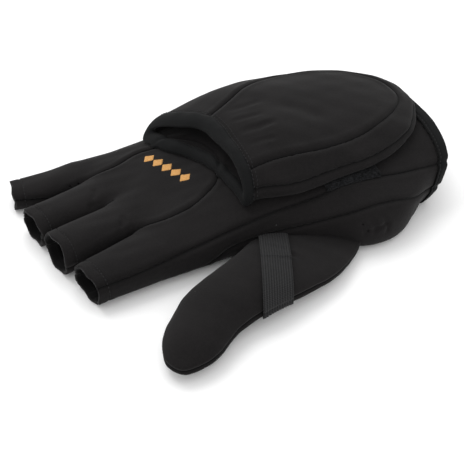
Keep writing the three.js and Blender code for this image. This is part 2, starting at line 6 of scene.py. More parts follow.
import bpy
import numpy as np
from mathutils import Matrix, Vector


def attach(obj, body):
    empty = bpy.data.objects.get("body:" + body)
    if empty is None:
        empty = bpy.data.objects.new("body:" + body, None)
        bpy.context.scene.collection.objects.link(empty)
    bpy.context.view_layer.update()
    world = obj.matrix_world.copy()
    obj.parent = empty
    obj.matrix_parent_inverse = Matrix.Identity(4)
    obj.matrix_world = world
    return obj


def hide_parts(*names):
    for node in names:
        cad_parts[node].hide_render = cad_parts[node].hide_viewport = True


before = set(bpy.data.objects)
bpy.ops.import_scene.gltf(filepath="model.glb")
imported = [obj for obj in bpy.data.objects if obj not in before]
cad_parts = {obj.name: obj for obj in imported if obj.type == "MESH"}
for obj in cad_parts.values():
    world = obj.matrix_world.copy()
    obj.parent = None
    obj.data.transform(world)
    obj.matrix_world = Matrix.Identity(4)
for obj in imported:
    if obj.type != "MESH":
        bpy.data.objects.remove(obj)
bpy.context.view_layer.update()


# Camera: a long lens, in front of the thumb's side and well above the glove. Its place and its lens were
# fitted to the glove's outline in the reference photograph.
camera_turn = math.radians(-24)
camera_rise = math.radians(38)
camera_distance = 650
looks_at = Vector((-21.332, -48.599, 15))

camera_data = bpy.data.cameras.new("camera")
camera_data.sensor_width = 36
camera_data.lens = 84.39
camera_data.clip_start = 0.01
camera_data.clip_end = 20
camera = bpy.data.objects.new("camera", camera_data)
bpy.context.scene.collection.objects.link(camera)
camera_back = Vector((
    math.sin(camera_turn) * math.cos(camera_rise),
    -math.cos(camera_turn) * math.cos(camera_rise),
    math.sin(camera_rise),
))
camera.location = (looks_at + camera_back * camera_distance) / 1000
camera.rotation_mode = "QUATERNION"
camera.rotation_quaternion = camera_back.to_track_quat("Z", "Y")
bpy.context.scene.camera = camera


# Body: the hand and four cut finger tubes of thin softshell, which the panels below are cut from and sewn
# into. Each section across it is an arch over a waist, with a rounded foot on a flat palm.
knuckle_reach = 80  # middle of the palm to the finger crotches
cuff_reach = 129.5
palm_width = 122
palm_height = 38
cuff_width = 104
cuff_height = 42
cuff_lean = 0.35
knuckle_skew = 0.2
wall = 1.8
seam_gap = -0.1  # sewn panels overlap a little, so that no light comes through
cut_edge = 0.3  # rounding of a panel's cut edge
tape_inset = 1.7  # from a taped edge to the cloth under the tape

hand_table = {
    "at": [-1.07, -1, -0.88, -0.65, -0.3, 0, 0.2, 0.37, 0.47, 0.61, 0.76, 0.86, 1],
    "near": [0.74, 0.93, 0.99, 1, 0.98, 1, 1.11, 1.3, 1.36, 1.35, 1.24, 1.15, 1.04],
    "far": [0.74, 0.92, 0.97, 0.98, 0.98, 0.98, 0.97, 0.95, 0.94, 0.95, 0.95, 0.945, 0.94],
    "top": [0.26, 0.48, 0.62, 0.72, 0.85, 0.95, 1, 1.02, 1.02, 1.02, 1.01, 1, 1],
    "square": [2.4, 2.8, 3, 3.2, 3.2, 3.2, 3, 2.8, 2.7, 2.6, 2.6, 2.6, 2.6],
    "waist": [0.36, 0.36, 0.36, 0.36, 0.36, 0.34, 0.3, 0.28, 0.28, 0.28, 0.32, 0.36, 0.4],
    "foot": [0.2, 0.2, 0.2, 0.2, 0.2, 0.18, 0.16, 0.14, 0.13, 0.12, 0.12, 0.13, 0.14],
    "cuff": [0, 0, 0, 0, 0, 0, 0, 0, 0.05, 0.25, 0.55, 0.8, 1],
    "lift": [0, 0, 0, 0, 0, 0, 0, 0, 0, 0, 0.5, 1, 1],
}


def smooth_curves(table, steps=500):
    """Each column of a table as a smooth curve over its first one: the fine places and the values there."""
    places = np.array(table["at"], float)
    fine = np.linspace(places[0], places[-1], steps)
    i = np.clip(np.searchsorted(places, fine, side="right") - 1, 0, len(places) - 2)
    span = places[i + 1] - places[i]
    t = (fine - places[i]) / span
    before = np.maximum(i - 1, 0)
    after = np.minimum(i + 2, len(places) - 1)
    curves = {}
    for name, column in table.items():
        v = np.array(column, float)
        slope_a = (v[i + 1] - v[before]) / (places[i + 1] - places[before]) * span
        slope_b = (v[after] - v[i]) / (places[after] - places[i]) * span
        start = (2 * t**3 - 3 * t**2 + 1) * v[i] + (t**3 - 2 * t**2 + t) * slope_a
        curves[name] = start + (3 * t**2 - 2 * t**3) * v[i + 1] + (t**3 - t**2) * slope_b
    return fine, curves


def smooth_step(low, high, value):
    t = np.clip((value - low) / (high - low), 0, 1)
    return t * t * (3 - 2 * t)


def bell(away, width):
    """1 where away is 0, and nothing from about two widths on."""
    return np.exp(-((away / width) ** 2))


def blended_min(a, b, radius):
    """The smaller distance, with a fillet of that radius where the two meet."""
    overlap = np.maximum(radius - np.abs(a - b), 0) / radius
    return np.minimum(a, b) - overlap * overlap * radius / 4


def rounded_max(a, b, radius):
    return -blended_min(-a, -b, radius)


def section_norm(across, up, half, top, base, waist, square, foot, left=1):
    """1 on a section's outline and less inside it, and how fast that grows for each millimetre.
    left: the share of the section that is left at a rounded end."""
    a = np.abs(across) / half
    b = np.maximum(up - waist, 0) / (top - waist)
    arch = np.maximum(a**square + b**square, 1e-9) ** (1 / square)
    arch_slope = arch ** (1 - square) * np.hypot(a ** (square - 1) / half, b ** (square - 1) / (top - waist))
    u = np.maximum(np.abs(across) - (half - foot) * left, 0) / foot
    v = np.maximum(waist - up, 0) / (waist - base)
    low = np.maximum(np.hypot(u, v), 1e-3)
    low_slope = np.hypot(u / foot, v / (waist - base)) / low
    over = up > waist
    return np.where(over, arch, low), np.maximum(np.where(over, arch_slope, low_slope), 4e-3)


hand_places, hand_curves = smooth_curves(hand_table)
hand_half = (palm_width + (cuff_width - palm_width) * hand_curves["cuff"]) / 2
hand_top = (palm_height + (cuff_height - palm_height) * hand_curves["cuff"]) * hand_curves["top"]
hand_base = hand_curves["lift"] * tape_inset
hand_sizes = {
    "near": -hand_half * hand_curves["near"],
    "far": hand_half * hand_curves["far"],
    "top": hand_top,
    "base": hand_base,
    "waist": hand_base + (hand_top - hand_base) * hand_curves["waist"],
    "square": hand_curves["square"],
    "foot": hand_half * hand_curves["foot"],
}


def hand_size(name, at):
    return np.interp(at, hand_places, hand_sizes[name])


def hand_place(x):
    return np.where(x < 0, x / knuckle_reach, x / cuff_reach)


def hand_section(x, y, z):
    """Distance from the hand's outline within its own section, and the place along the hand."""
    at = hand_place(x)
    for _ in range(2):
        skew = knuckle_skew * smooth_step(0.3, 1, -at)
        lean = cuff_lean * smooth_step(0.5, 1, at)
        along = x + skew * y + lean * (hand_size("top", at) - z)
        at = hand_place(along)
    near, far, foot = hand_size("near", at), hand_size("far", at), hand_size("foot", at)
    across = y - (near + far) / 2
    waist = hand_size("waist", at)
    norm, slope = section_norm(
        across, z, (far - near) / 2, hand_size("top", at), hand_size("base", at), waist,
        hand_size("square", at), foot)
    return np.clip((norm - 1) / slope, -30, 60), along


def hand(x, y, z):
    """Distance from the hand's outside, without the fingers."""
    off, along = hand_section(x, y, z)
    ahead = (hand_section(x + 0.6, y, z)[0] - off) / 0.6
    return rounded_max(off / np.hypot(1, ahead), -along - 1.07 * knuckle_reach, 6)


# Root and end are shares of half the palm's width. The other columns are shares of a finger's length, width
# and height.
finger_length = 44
finger_width = 32
finger_height = 24
hem_depth = 6.5
hem_extra = 0.8
finger_columns = ("root", "end", "reach", "root_wide", "end_wide", "root_high", "end_high")
finger_rows = [
    (-0.74, -0.88, 0.98, 1.08, 0.92, 0.98, 0.84),
    (-0.2, -0.34, 1.02, 1, 0.92, 1.02, 0.97),
    (0.3, 0.17, 1, 0.94, 0.9, 1, 0.84),
    (0.765, 0.85, 0.9, 0.88, 0.68, 0.84, 0.6),
]
fingers = [dict(zip(finger_columns, row)) for row in finger_rows]


def finger_line(finger):
    """Where a finger's middle starts at the crotch line and ends at its cut end, in plan."""
    root_y = finger["root"] * palm_width / 2
    root = np.array([-knuckle_reach - knuckle_skew * root_y, root_y])
    return root, np.array([root[0] - finger_length * finger["reach"], finger["end"] * palm_width / 2])


def finger_tube(x, y, z, finger):
    """Distance from a finger's outside, and how far past its cut end a point is."""
    root, end = finger_line(finger)
    length = np.hypot(*(end - root))
    ahead = (end - root) / length
    along = (x - root[0]) * ahead[0] + (y - root[1]) * ahead[1]
    across = (y - root[1]) * ahead[0] - (x - root[0]) * ahead[1]
    place = along / length
    blend = np.clip(place, 0, 1)
    half = (finger["root_wide"] + (finger["end_wide"] - finger["root_wide"]) * blend) * finger_width / 2
    high = (finger["root_high"] + (finger["end_high"] - finger["root_high"]) * blend) * finger_height
    half = half * (1 + 0.12 * np.minimum(place, 0))
    top = high + 0.04 * np.clip(place, -1, 0) * finger_height
    norm, slope = section_norm(across, z, half, top, 0 * z, high * 0.46, 2.4, half * 0.75)
    tube = rounded_max(np.clip((norm - 1) / slope, -30, 60), -along - 0.75 * length, 4)
    ripple = 0.5 * np.sin(across * 0.42 + 3 * finger["root"]) + 0.35 * np.sin(z * 0.5 + 5 * finger["end"])
    return tube, along - length + ripple


def unevenness(x, y, z, length, seed):
    """Soft hills and hollows about one length apart, between about -1 and 1."""
    random = np.random.default_rng(seed)
    total = np.zeros_like(x)
    for _ in range(5):
        way = random.normal(size=3)
        way *= 2 * math.pi / length / np.linalg.norm(way) * random.uniform(0.7, 1.3)
        total += np.sin(x * way[0] + y * way[1] + z * way[2] + random.uniform(0, 6.28))
    return total / 3


def crease(x, y, z, line, width, depth):
    """A fold along a line of points: a hollow with a low ridge on each side, which fades out at both ends."""
    line = np.array(line, float)
    reach = 3 * width
    close = np.ones(x.shape, bool)
    for value, k in ((x, 0), (y, 1), (z, 2)):
        close &= (value > line[:, k].min() - reach) & (value < line[:, k].max() + reach)
    fold = np.zeros_like(x)
    points = np.stack([x[close], y[close], z[close]], 1).astype(float)
    if not len(points):
        return fold
    lengths = np.linalg.norm(np.diff(line, axis=0), axis=1)
    starts = np.concatenate([[0], np.cumsum(lengths)]) / lengths.sum()
    nearest = np.full(len(points), 1e9)
    place = np.zeros(len(points))
    for i, length in enumerate(lengths):
        step = line[i + 1] - line[i]
        t = np.clip((points - line[i]) @ step / length**2, 0, 1)
        away = np.linalg.norm(points - line[i] - t[:, None] * step, axis=1)
        closer = away < nearest
        nearest = np.where(closer, away, nearest)
        place = np.where(closer, starts[i] + t * (starts[i + 1] - starts[i]), place)
    fade = smooth_step(0, 0.3, place) * smooth_step(0, 0.3, 1 - place)
    share = (nearest / width) ** 2
    fold[close] = -depth * fade * (1 - 0.9 * share) * np.exp(-share)
    return fold


# Seams of the body. at: as in the hand's table. near: across, as a share of half the palm's width. up: a
# share of the palm's height. inside: the cut's height inside the glove. turn: where the lower cut turns up
# inside it.
upper_seam_table = {
    "at": [-1.8, -1.25, -0.75, -0.3, 0.02, 0.25, 0.38, 0.54, 0.7, 1.1],
    "near": [-1.09, -1.08, -1.01, -0.96, -0.94, -0.95, -0.92, -0.95, -0.96, -0.86],
    "up": [0.4, 0.43, 0.5, 0.65, 0.77, 0.87, 0.93, 0.925, 0.88, 0.76],
    "inside": [0.26, 0.26, 0.3, 0.36, 0.38, 0.4, 0.42, 0.42, 0.42, 0.42],
}
lower_seam_table = {
    "at": [-1.8, -0.6, -0.34, -0.12, 0.06, 0.2, 0.34, 0.49, 0.7, 1.1],
    "near": [-1.09, -0.98, -0.98, -1, -1.03, -1.09, -1.19, -1.22, -1.1, -0.86],
    "up": [0.09, 0.09, 0.36, 0.42, 0.47, 0.55, 0.68, 0.74, 0.55, 0.22],
    "inside": [0.1, 0.1, 0.3, 0.34, 0.36, 0.38, 0.4, 0.42, 0.36, 0.22],
    "turn": [-0.88, -0.8, -0.72, -0.7, -0.7, -0.7, -0.7, -0.7, -0.7, -0.5],
}
upper_seam = smooth_curves(upper_seam_table)
lower_seam = smooth_curves(lower_seam_table)
seam_inward = 0.28 * palm_width / 2


def over_seam(x, y, z, seam):
    """Height over a cut that starts at a seam, runs inwards and levels out across the hollow."""
    places, curves = seam
    at = hand_place(x)
    start_y = np.interp(at, places, curves["near"]) * palm_width / 2
    start_z = np.interp(at, places, curves["up"]) * palm_height
    level = np.interp(at, places, curves["inside"]) * palm_height
    slope = np.where(y < start_y + seam_inward, (level - start_z) / seam_inward, 0)
    height = np.where(y < start_y + seam_inward, start_z + slope * (y - start_y), level)
    return (z - height) / np.hypot(1, slope)


def through_wall(cut, outside, deep, x, y, z):
    """A cut that is drawn in plan, led straight through a wall. deep: distance from the wall's middle."""
    away = cut(x, y)
    near = (np.abs(away) < 3) & (np.abs(deep) < 3)
    points = np.stack([x[near], y[near], z[near]], 1)
    if len(points):
        middle = points - slope_of(outside, points) * deep[near][:, None]
        away[near] = cut(middle[:, 0], middle[:, 1])
    return away


def growth_of(solid, points, step):
    """How fast a solid's distance grows along x, y and z at each point."""
    changes = [solid(*(points + step * axis).T) - solid(*(points - step * axis).T) for axis in np.eye(3)]
    return np.stack(changes, 1) / (2 * step)


def slope_of(solid, points):
    """The direction out of a solid at each point."""
    out = growth_of(solid, points, 0.3)
    return out / np.maximum(np.linalg.norm(out, axis=1)[:, None], 1e-6)


def strip_side(x, y):
    """How far a point is past the line where the side strip's cut turns up."""
    places, curves = lower_seam
    return y - np.interp(hand_place(x), places, curves["turn"]) * palm_width / 2


def plan_distance(points, lengths):
    """Distance in plan from a smooth closed outline, less than 0 inside it, as a function of x and y."""
    rows = np.array(points, float) * lengths
    rows = np.concatenate([[2 * rows[0] - rows[1]], rows, [2 * rows[-1] - rows[-2]]])
    line = []
    for p0, p1, p2, p3 in zip(rows, rows[1:], rows[2:], rows[3:]):
        for t in np.arange(0, 1, 0.1):
            line.append(0.5 * (2 * p1 + (p2 - p0) * t + (2 * p0 - 5 * p1 + 4 * p2 - p3) * t**2
                               + (3 * p1 - p0 - 3 * p2 + p3) * t**3))
    line = np.array(line + [rows[-2]])
    ends = np.roll(line, -1, 0)
    xs = np.arange(line[:, 0].min() - 12, line[:, 0].max() + 12, 1.0)
    ys = np.arange(line[:, 1].min() - 12, line[:, 1].max() + 12, 1.0)
    gx, gy = np.meshgrid(xs, ys, indexing="ij")
    away = np.full(gx.shape, 1e9)
    inside = np.zeros(gx.shape, bool)
    for (ax, ay), (bx, by) in zip(line, ends):
        length = (bx - ax) ** 2 + (by - ay) ** 2
        t = np.clip(((gx - ax) * (bx - ax) + (gy - ay) * (by - ay)) / max(length, 1e-9), 0, 1)
        away = np.minimum(away, np.hypot(gx - ax - t * (bx - ax), gy - ay - t * (by - ay)))
        if ay != by:
            inside ^= ((ay > gy) != (by > gy)) & (gx < (bx - ax) * (gy - ay) / (by - ay) + ax)
    signed = np.where(inside, -away, away)

    def distance(x, y):
        u = np.clip(x - xs[0], 0, len(xs) - 1.001)
        v = np.clip(y - ys[0], 0, len(ys) - 1.001)
        i, j = u.astype(int), v.astype(int)
        u, v = u - i, v - j
        low = signed[i, j] * (1 - v) + signed[i, j + 1] * v
        high = signed[i + 1, j] * (1 - v) + signed[i + 1, j + 1] * v
        return low * (1 - u) + high * u

    return distance


tongue_points = [
    (-1.8, -0.63), (-1.4, -0.6), (-1.1, -0.5), (-0.91, -0.46), (-0.76, -0.52), (-0.59, -0.53), (-0.47, -0.5),
    (-0.35, -0.42), (-0.25, -0.33), (-0.16, -0.15), (-0.14, 0.08), (-0.2, 0.32), (-0.36, 0.53), (-0.6, 0.62),
    (-0.84, 0.53), (-1.06, 0.54), (-1.4, 0.53), (-1.8, 0.52),
]
past_tongue = plan_distance(tongue_points, (knuckle_reach, palm_width / 2))

# Gathers at the crotches' tacks, along the back and at the heel: a line of points, a width and a depth.
body_folds = [
    ([(-90, -31, 18), (-81, -29, 22), (-72, -28, 25)], 3, 1.3),
    ([(-84, -26, 19), (-80, -21, 23), (-79, -16, 24)], 2.6, 0.8),
    ([(-95, 4, 18), (-87, 3, 22), (-79, 5, 25)], 3, 1.3),
    ([(-90, 7, 19), (-87, 12, 23), (-86, 17, 24)], 2.6, 0.8),
    ([(-101, 34, 14), (-93, 33, 18), (-84, 34, 21)], 3, 1.2),
    ([(-58, -20, 31), (-47, -6, 33), (-44, 10, 34)], 5, 0.7),
    ([(46, -79, 24), (52, -81, 17), (50, -82, 10)], 2.2, 1.1),
    ([(53, -79, 24), (58, -81, 18), (57, -82, 11)], 2.2, 1.0),
    ([(61, -78, 23), (66, -80, 17), (65, -81, 9)], 2.6, 1.2),
    ([(47, -82, 17), (56, -82, 16), (68, -80, 18)], 2, 0.8),
]


def body(x, y, z):
    """Distance from the body's outside, and how far past a finger's cut end a point is."""
    distance = hand(x, y, z)
    end = np.full_like(distance, -1e3)
    front = x < -35
    if front.any():
        fx, fy, fz = x[front], y[front], z[front]
        tubes = np.full_like(fx, 1e3)
        nearest = np.full_like(fx, 1e3)
        past = np.full_like(fx, -1e3)
        hem = np.zeros_like(fx)
        for finger in fingers:
            tube, beyond = finger_tube(fx, fy, fz, finger)
            tubes = blended_min(tubes, tube, 1)
            past = np.where(tube < nearest, beyond, past)
            nearest = np.minimum(nearest, tube)
            hem += 0.45 * bell(beyond + hem_depth, 0.8) * (tube < 3)
        distance[front] = blended_min(distance[front], tubes, 5) + hem
        end[front] = past
    distance = np.maximum(distance, -z)
    skin = np.abs(distance) < 9
    sx, sy, sz = x[skin], y[skin], z[skin]
    lift = 0.45 * unevenness(sx, sy, sz, 34, 3) + 0.16 * unevenness(sx, sy, sz, 12, 4)
    for line, width, depth in body_folds:
        lift += crease(sx, sy, sz, line, width, depth)
    upper = over_seam(sx, sy, sz, upper_seam)
    lower = over_seam(sx, sy, sz, lower_seam)
    tongue = past_tongue(sx, sy)
    on_strip = (upper < 0.5) & (strip_side(sx, sy) < 0)
    for away, there in ((upper, 1), (lower, on_strip), (tongue, upper > -0.5)):
        lift += there * (0.3 * bell(np.abs(away) - 3.2, 1.7) - 0.8 * bell(away, 1.3))
    distance[skin] -= lift * smooth_step(0.5, 4, sz)
    return distance, end


def past_cuff(x, z):
    """How far a point is past the cuff's edge."""
    return (x - cuff_reach + cuff_lean * (cuff_height - z)) / math.hypot(1, cuff_lean)


def body_skin(x, y, z):
    return body(x, y, z)[0]


def body_wall(x, y, z):
    """Distance from the cloth of the body, which is thicker in the turned hem at each finger's end."""
    outside, end = body(x, y, z)
    hem = hem_extra * smooth_step(-hem_depth - 0.4, -hem_depth + 0.4, end)
    cloth = np.maximum(outside, -(outside + wall + hem))
    return rounded_max(np.maximum(cloth, end), past_cuff(x, z) + tape_inset, cut_edge)


crumb_points = 400


def surface_of(solid, low, high, cell):
    """A mesh of four-sided faces on the surface of a solid that is given as a distance function."""
    low = np.array(low, float)
    blocks = np.ceil((np.array(high) - low) / (4 * cell)).astype(int)
    middles = [low[k] + cell * (4 * np.arange(blocks[k]) + 1.5) for k in range(3)]
    coarse = solid(*[g.ravel() for g in np.meshgrid(*middles, indexing="ij")]).reshape(blocks)
    spread = np.ones((4, 4, 4))
    values = np.kron(coarse, spread)
    close = np.nonzero(np.kron(np.abs(coarse) < 5.2 * cell, spread))
    values[close] = solid(*[low[k] + cell * close[k] for k in range(3)])

    inside = values < 0
    corners = np.array([(a, b, c) for a in (0, 1) for b in (0, 1) for c in (0, 1)])
    wide, deep, tall = np.array(inside.shape) - 1
    count = sum(inside[a:a + wide, b:b + deep, c:c + tall].astype(int) for a, b, c in corners)
    cells = np.argwhere((count > 0) & (count < 8))
    number = np.full(values.shape, -1)
    number[tuple(cells.T)] = np.arange(len(cells))
    at_corner = [values[tuple((cells + corner).T)] for corner in corners]
    total = np.zeros((len(cells), 3))
    crossings = np.zeros(len(cells))
    for p in range(8):
        for q in range(p + 1, 8):
            if np.abs(corners[p] - corners[q]).sum() != 1:
                continue
            crossed = (at_corner[p] < 0) != (at_corner[q] < 0)
            t = np.where(crossed, at_corner[p] / np.where(crossed, at_corner[p] - at_corner[q], 1), 0)
            total += crossed[:, None] * (corners[p] + t[:, None] * (corners[q] - corners[p]))
            crossings += crossed
    points = low + cell * (cells + total / crossings[:, None])

    faces = []
    for axis in range(3):
        ahead = np.roll(np.eye(3, dtype=int), axis, 0)[0]
        side, up = np.roll(np.eye(3, dtype=int), axis, 0)[[1, 2]]
        first = inside[tuple(slice(0, -1) if ahead[k] else slice(1, -1) for k in range(3))]
        second = inside[tuple(slice(1, None) if ahead[k] else slice(1, -1) for k in range(3))]
        edges = np.argwhere(first != second)
        outward = first[tuple(edges.T)]
        edges = edges + (1 - ahead)
        around = np.stack([number[tuple((edges + step).T)] for step in (-side - up, -up, 0 * up, -side)], 1)
        faces.append(np.where(outward[:, None], around, around[:, ::-1]))
    faces = np.concatenate(faces)
    faces = faces[(faces >= 0).all(1)]

    # Crumbs that are cut loose at a seam go, so that only what hangs together with the piece stays.
    whose = np.arange(len(points))
    starts, stops = faces.ravel(), np.roll(faces, -1, 1).ravel()
    before = None
    while before is None or (before != whose).any():
        before = whose.copy()
        np.minimum.at(whose, starts, before[stops])
        np.minimum.at(whose, stops, before[starts])
        whose = whose[whose]
    kept = np.bincount(whose, minlength=len(points))[whose] > crumb_points
    faces = (np.cumsum(kept) - 1)[faces[kept[faces[:, 0]]]]
    points = points[kept]

    starts, stops = faces.ravel(), np.roll(faces, -1, 1).ravel()
    both, others = np.concatenate([starts, stops]), np.concatenate([stops, starts])
    links = np.bincount(both, minlength=len(points))
    first = points.copy()
    for _ in range(3):
        around = np.stack([np.bincount(both, points[others, k], len(points)) for k in range(3)], 1)
        points += 0.5 * (around / links[:, None] - points)
        slope = growth_of(solid, points, 0.25 * cell)
        move = -(solid(*points.T) / np.maximum((slope**2).sum(1), 0.3))[:, None] * slope
        length = np.linalg.norm(move, axis=1)[:, None]
        points += move * np.minimum(1, 0.6 * cell / np.maximum(length, 1e-6))
        strayed = np.linalg.norm(points - first, axis=1)[:, None]
        points = first + (points - first) * np.minimum(1, 0.7 * cell / np.maximum(strayed, 1e-6))
    return points, faces


def add_piece(name, points, faces, marks=None):
    """A piece of the glove from points in millimetres, with named values at its points for its material."""
    mesh = bpy.data.meshes.new(name)
    mesh.vertices.add(len(points))
    mesh.vertices.foreach_set("co", (points / 1000).astype(np.float32).ravel())
    mesh.loops.add(faces.size)
    mesh.loops.foreach_set("vertex_index", faces.astype(np.int32).ravel())
    mesh.polygons.add(len(faces))
    mesh.polygons.foreach_set("loop_start", np.arange(0, faces.size, faces.shape[1], dtype=np.int32))
    mesh.update(calc_edges=True)
    mesh.validate()
    mesh.shade_smooth()
    for mark, values in (marks or {}).items():
        attribute = mesh.attributes.new(mark, "FLOAT", "POINT")
        attribute.data.foreach_set("value", values.astype(np.float32))
    piece = bpy.data.objects.new(name, mesh)
    bpy.context.scene.collection.objects.link(piece)
    return piece


class Signal:
    """A shader socket that works in sums, so that a material reads as its formula."""

    def __init__(self, recipe, socket):
        self.recipe = recipe
        self.socket = socket

    def maths(self, operation, *values):
        return self.recipe.node("ShaderNodeMath", {"operation": operation}, dict(enumerate(values)))

    def wave(self):
        return self.maths("SINE", self)

    def __add__(self, other):
        return self.maths("ADD", self, other)

    def __mul__(self, other):
        return self.maths("MULTIPLY", self, other)

    def __sub__(self, other):
        return self.maths("SUBTRACT", self, other)

    def __rsub__(self, other):
        return self.maths("SUBTRACT", other, self)

    __radd__ = __add__
    __rmul__ = __mul__


class Recipe:
    """A material in the making."""

    def __init__(self, name):
        self.material = bpy.data.materials.new(name)
        self.material.use_nodes = True
        self.tree = self.material.node_tree
        self.tree.nodes.clear()

    def node(self, kind, settings=None, values=None, output=0):
        node = self.tree.nodes.new(kind)
        for key, value in (settings or {}).items():
            setattr(node, key, value)
        for key, value in (values or {}).items():
            if isinstance(value, Signal):
                self.tree.links.new(value.socket, node.inputs[key])
            else:
                node.inputs[key].default_value = value
        return Signal(self, node.outputs[output])

    def spot(self):
        """Where a point lies on the piece, in metres."""
        return self.node("ShaderNodeTexCoord", output=3)

    def grain(self, scale, detail, rough):
        """Soft noise between 0 and 1, with so many lumps for each metre."""
        values = {"Vector": self.spot(), "Scale": scale, "Detail": detail, "Roughness": rough}
        return self.node("ShaderNodeTexNoise", None, values)

    def mark(self, name):
        """The values that a piece keeps at its points under this name."""
        return self.node("ShaderNodeAttribute", {"attribute_name": name}, output=2)

    def mixed(self, share, dark, light):
        values = {0: share, 6: dark, 7: light}
        return self.node("ShaderNodeMix", {"data_type": "RGBA"}, values, output=2)

    def finish(self, colour, roughness, height, depth, sheen=0.0, sheen_rough=0.5):
        """The finished material. depth: how high its relief stands, in metres."""
        bump = self.node("ShaderNodeBump", None, {"Height": height, "Distance": depth, "Strength": 1.0})
        values = {"Base Color": colour, "Roughness": roughness, "Normal": bump, "Sheen Weight": sheen,
                  "Sheen Roughness": sheen_rough, "Specular IOR Level": 0.1}
        shader = self.node("ShaderNodeBsdfPrincipled", None, values)
        out = self.tree.nodes.new("ShaderNodeOutputMaterial")
        self.tree.links.new(shader.socket, out.inputs["Surface"])
        return self.material


# Softshell: the matt black knit of every panel, with a fine short pile. Painted shade darkens it down in a
# seam's groove and on the lining inside the glove, and a few pale specks of lint lie on it.
softshell = Recipe("softshell")
pile = softshell.grain(1500, 3, 0.6)
knit = softshell.grain(420, 2, 0.6)
cloud = softshell.grain(28, 3, 0.55)
lint = softshell.node("ShaderNodeTexVoronoi", None, {"Vector": softshell.spot(), "Scale": 42})
speck = softshell.node("ShaderNodeMapRange", None, {"Value": lint, 1: 0.012, 2: 0.022, 3: 1.0, 4: 0.0})
# Painted shade: the seam value at a piece's points darkens the knit in seam grooves and on the lining inside.
seam_shade = softshell.mark("seam")
shade = pile * 0.75 + knit * 0.45 + cloud * 0.6 - 0.42
base_colour = softshell.mixed(shade, (0.0016, 0.0014, 0.0015, 1), (0.0126, 0.0112, 0.0114, 1))
seam_shaded_colour = softshell.mixed(seam_shade * 0.8, base_colour, (0.0012, 0.0011, 0.0012, 1))
linted = softshell.mixed(speck * 0.25, seam_shaded_colour, (0.2, 0.2, 0.2, 1))
softshell_cloth = softshell.finish(linted, 0.78 + 0.16 * knit, pile * 0.6 + knit * 0.4, 0.00022, 0.04)


def groove_shade_mask(points, pairs):
    """1 in the groove of a seam and 0 away from it: where painted shade darkens the colour."""
    groove = np.zeros(len(points))
    for away, there in pairs:
        groove = np.maximum(groove, bell(away, 0.9) * there)
    return groove


# Painted shade in the grooves of the body's seams: the upper seam, the side strip's seam and the tongue's seam.
def body_groove_shade(points):
    x, y, z = points.T
    upper = over_seam(x, y, z, upper_seam)
    on_strip = (upper < 0.5) & (strip_side(x, y) < 0)
    return groove_shade_mask(points, [
        (upper, 1), (over_seam(x, y, z, lower_seam), on_strip), (past_tongue(x, y), upper > -0.5)])


# The seam values that a panel keeps are painted shade: 1 in a seam's groove and on the lining inside.
def softshell_panel(name, points, faces, seam):
    """A cloth panel in place of its CAD node."""
    piece = add_piece(name + "_cloth", points, faces, {"seam": seam})
    piece.data.materials.append(softshell_cloth)
    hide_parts(name)
    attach(piece, "root")


def body_panel(name, solid, low, high, cell):
    """A panel of the body, with painted shade on its inner side where the glove's inside is seen."""
    points, faces = surface_of(solid, low, high, cell)
    lining_shade = 0.9 * smooth_step(0.7, 1.5, -body_skin(*points.T))
    softshell_panel(name, points, faces, np.maximum(body_groove_shade(points), lining_shade))


# Back panel: softshell over the backs of the index and little fingers and over the back of the hand. It is
# cut out round the centre panel and sewn to it, to the side strip and, beside the little finger, to the
# palm.
def tongue_cut(x, y, z):
    """How far a point is past the centre panel's outline, cut straight through the cloth."""
    return through_wall(past_tongue, body_skin, body_skin(x, y, z) + wall / 2, x, y, z)


def back_panel(x, y, z):
    cut = np.maximum(seam_gap / 2 - over_seam(x, y, z, upper_seam), seam_gap / 2 - tongue_cut(x, y, z))
    return rounded_max(body_wall(x, y, z), cut, cut_edge)


body_panel("back_panel", back_panel, (-132, -76, 3), (132, 66, 50), 0.9)


# Back centre panel: a tongue of softshell over the backs of the middle and ring fingers, which runs up to
# under the hood. It is sewn into the back panel along one curved seam, and it carries the motif.
def back_centre_panel(x, y, z):
    cut = np.maximum(seam_gap / 2 - over_seam(x, y, z, upper_seam), tongue_cut(x, y, z) + seam_gap / 2)
    return rounded_max(body_wall(x, y, z), cut, cut_edge)


body_panel("back_centre_panel", back_centre_panel, (-132, -44, 3), (-4, 46, 44), 0.8)


# Side strip: a narrow softshell panel on the thumb's side, from the index finger's end to the cuff. One
# seam joins it to the back panel over it, and one to the palm panel under it.
def side_strip(x, y, z):
    strip = np.maximum(seam_gap / 2 - over_seam(x, y, z, lower_seam), strip_side(x, y))
    cut = np.maximum(over_seam(x, y, z, upper_seam) + seam_gap / 2, strip)
    return rounded_max(body_wall(x, y, z), cut, cut_edge)


body_panel("side_strip", side_strip, (-132, -84, 0), (132, -36, 46), 0.8)


# Thumb: a closed mitten thumb of two softshell panels, one over it and one under it. They are sewn together
# round its outline, and their open end is sewn to the hole in the palm.
thumb_length = 161
thumb_width = 46
thumb_height = 23
thumb_turn = math.radians(209.4)
thumb_base = (45, -52)
thumb_lie = 1.95  # how far it lies over the surface, on the strap's turned end
thumb_waist = 0.46  # height of the seam round it, as a share of its height
thumb_end_y = -54  # the furthest that its cloth reaches into the hand
tip_start = 0.8
thumb_table = {
    "at": [0, 0.151, 0.276, 0.402, 0.513, 0.614, 0.721, 0.817, 0.92, 1],
    "aside": [0, 0.052, 0.079, 0.058, 0, -0.06, -0.085, -0.035, 0.06, 0.15],
    "half": [0.48, 0.587, 0.609, 0.554, 0.489, 0.45, 0.42, 0.395, 0.39, 0.38],
    "high": [0.42, 0.52, 0.72, 0.92, 1, 0.98, 0.93, 0.86, 0.82, 0.78],
    "lift": [0, 0.3, 0.8, 1, 1, 1, 0.7, 0.4, 0.3, 0.3],
}
thumb_places, thumb_curves = smooth_curves(thumb_table)
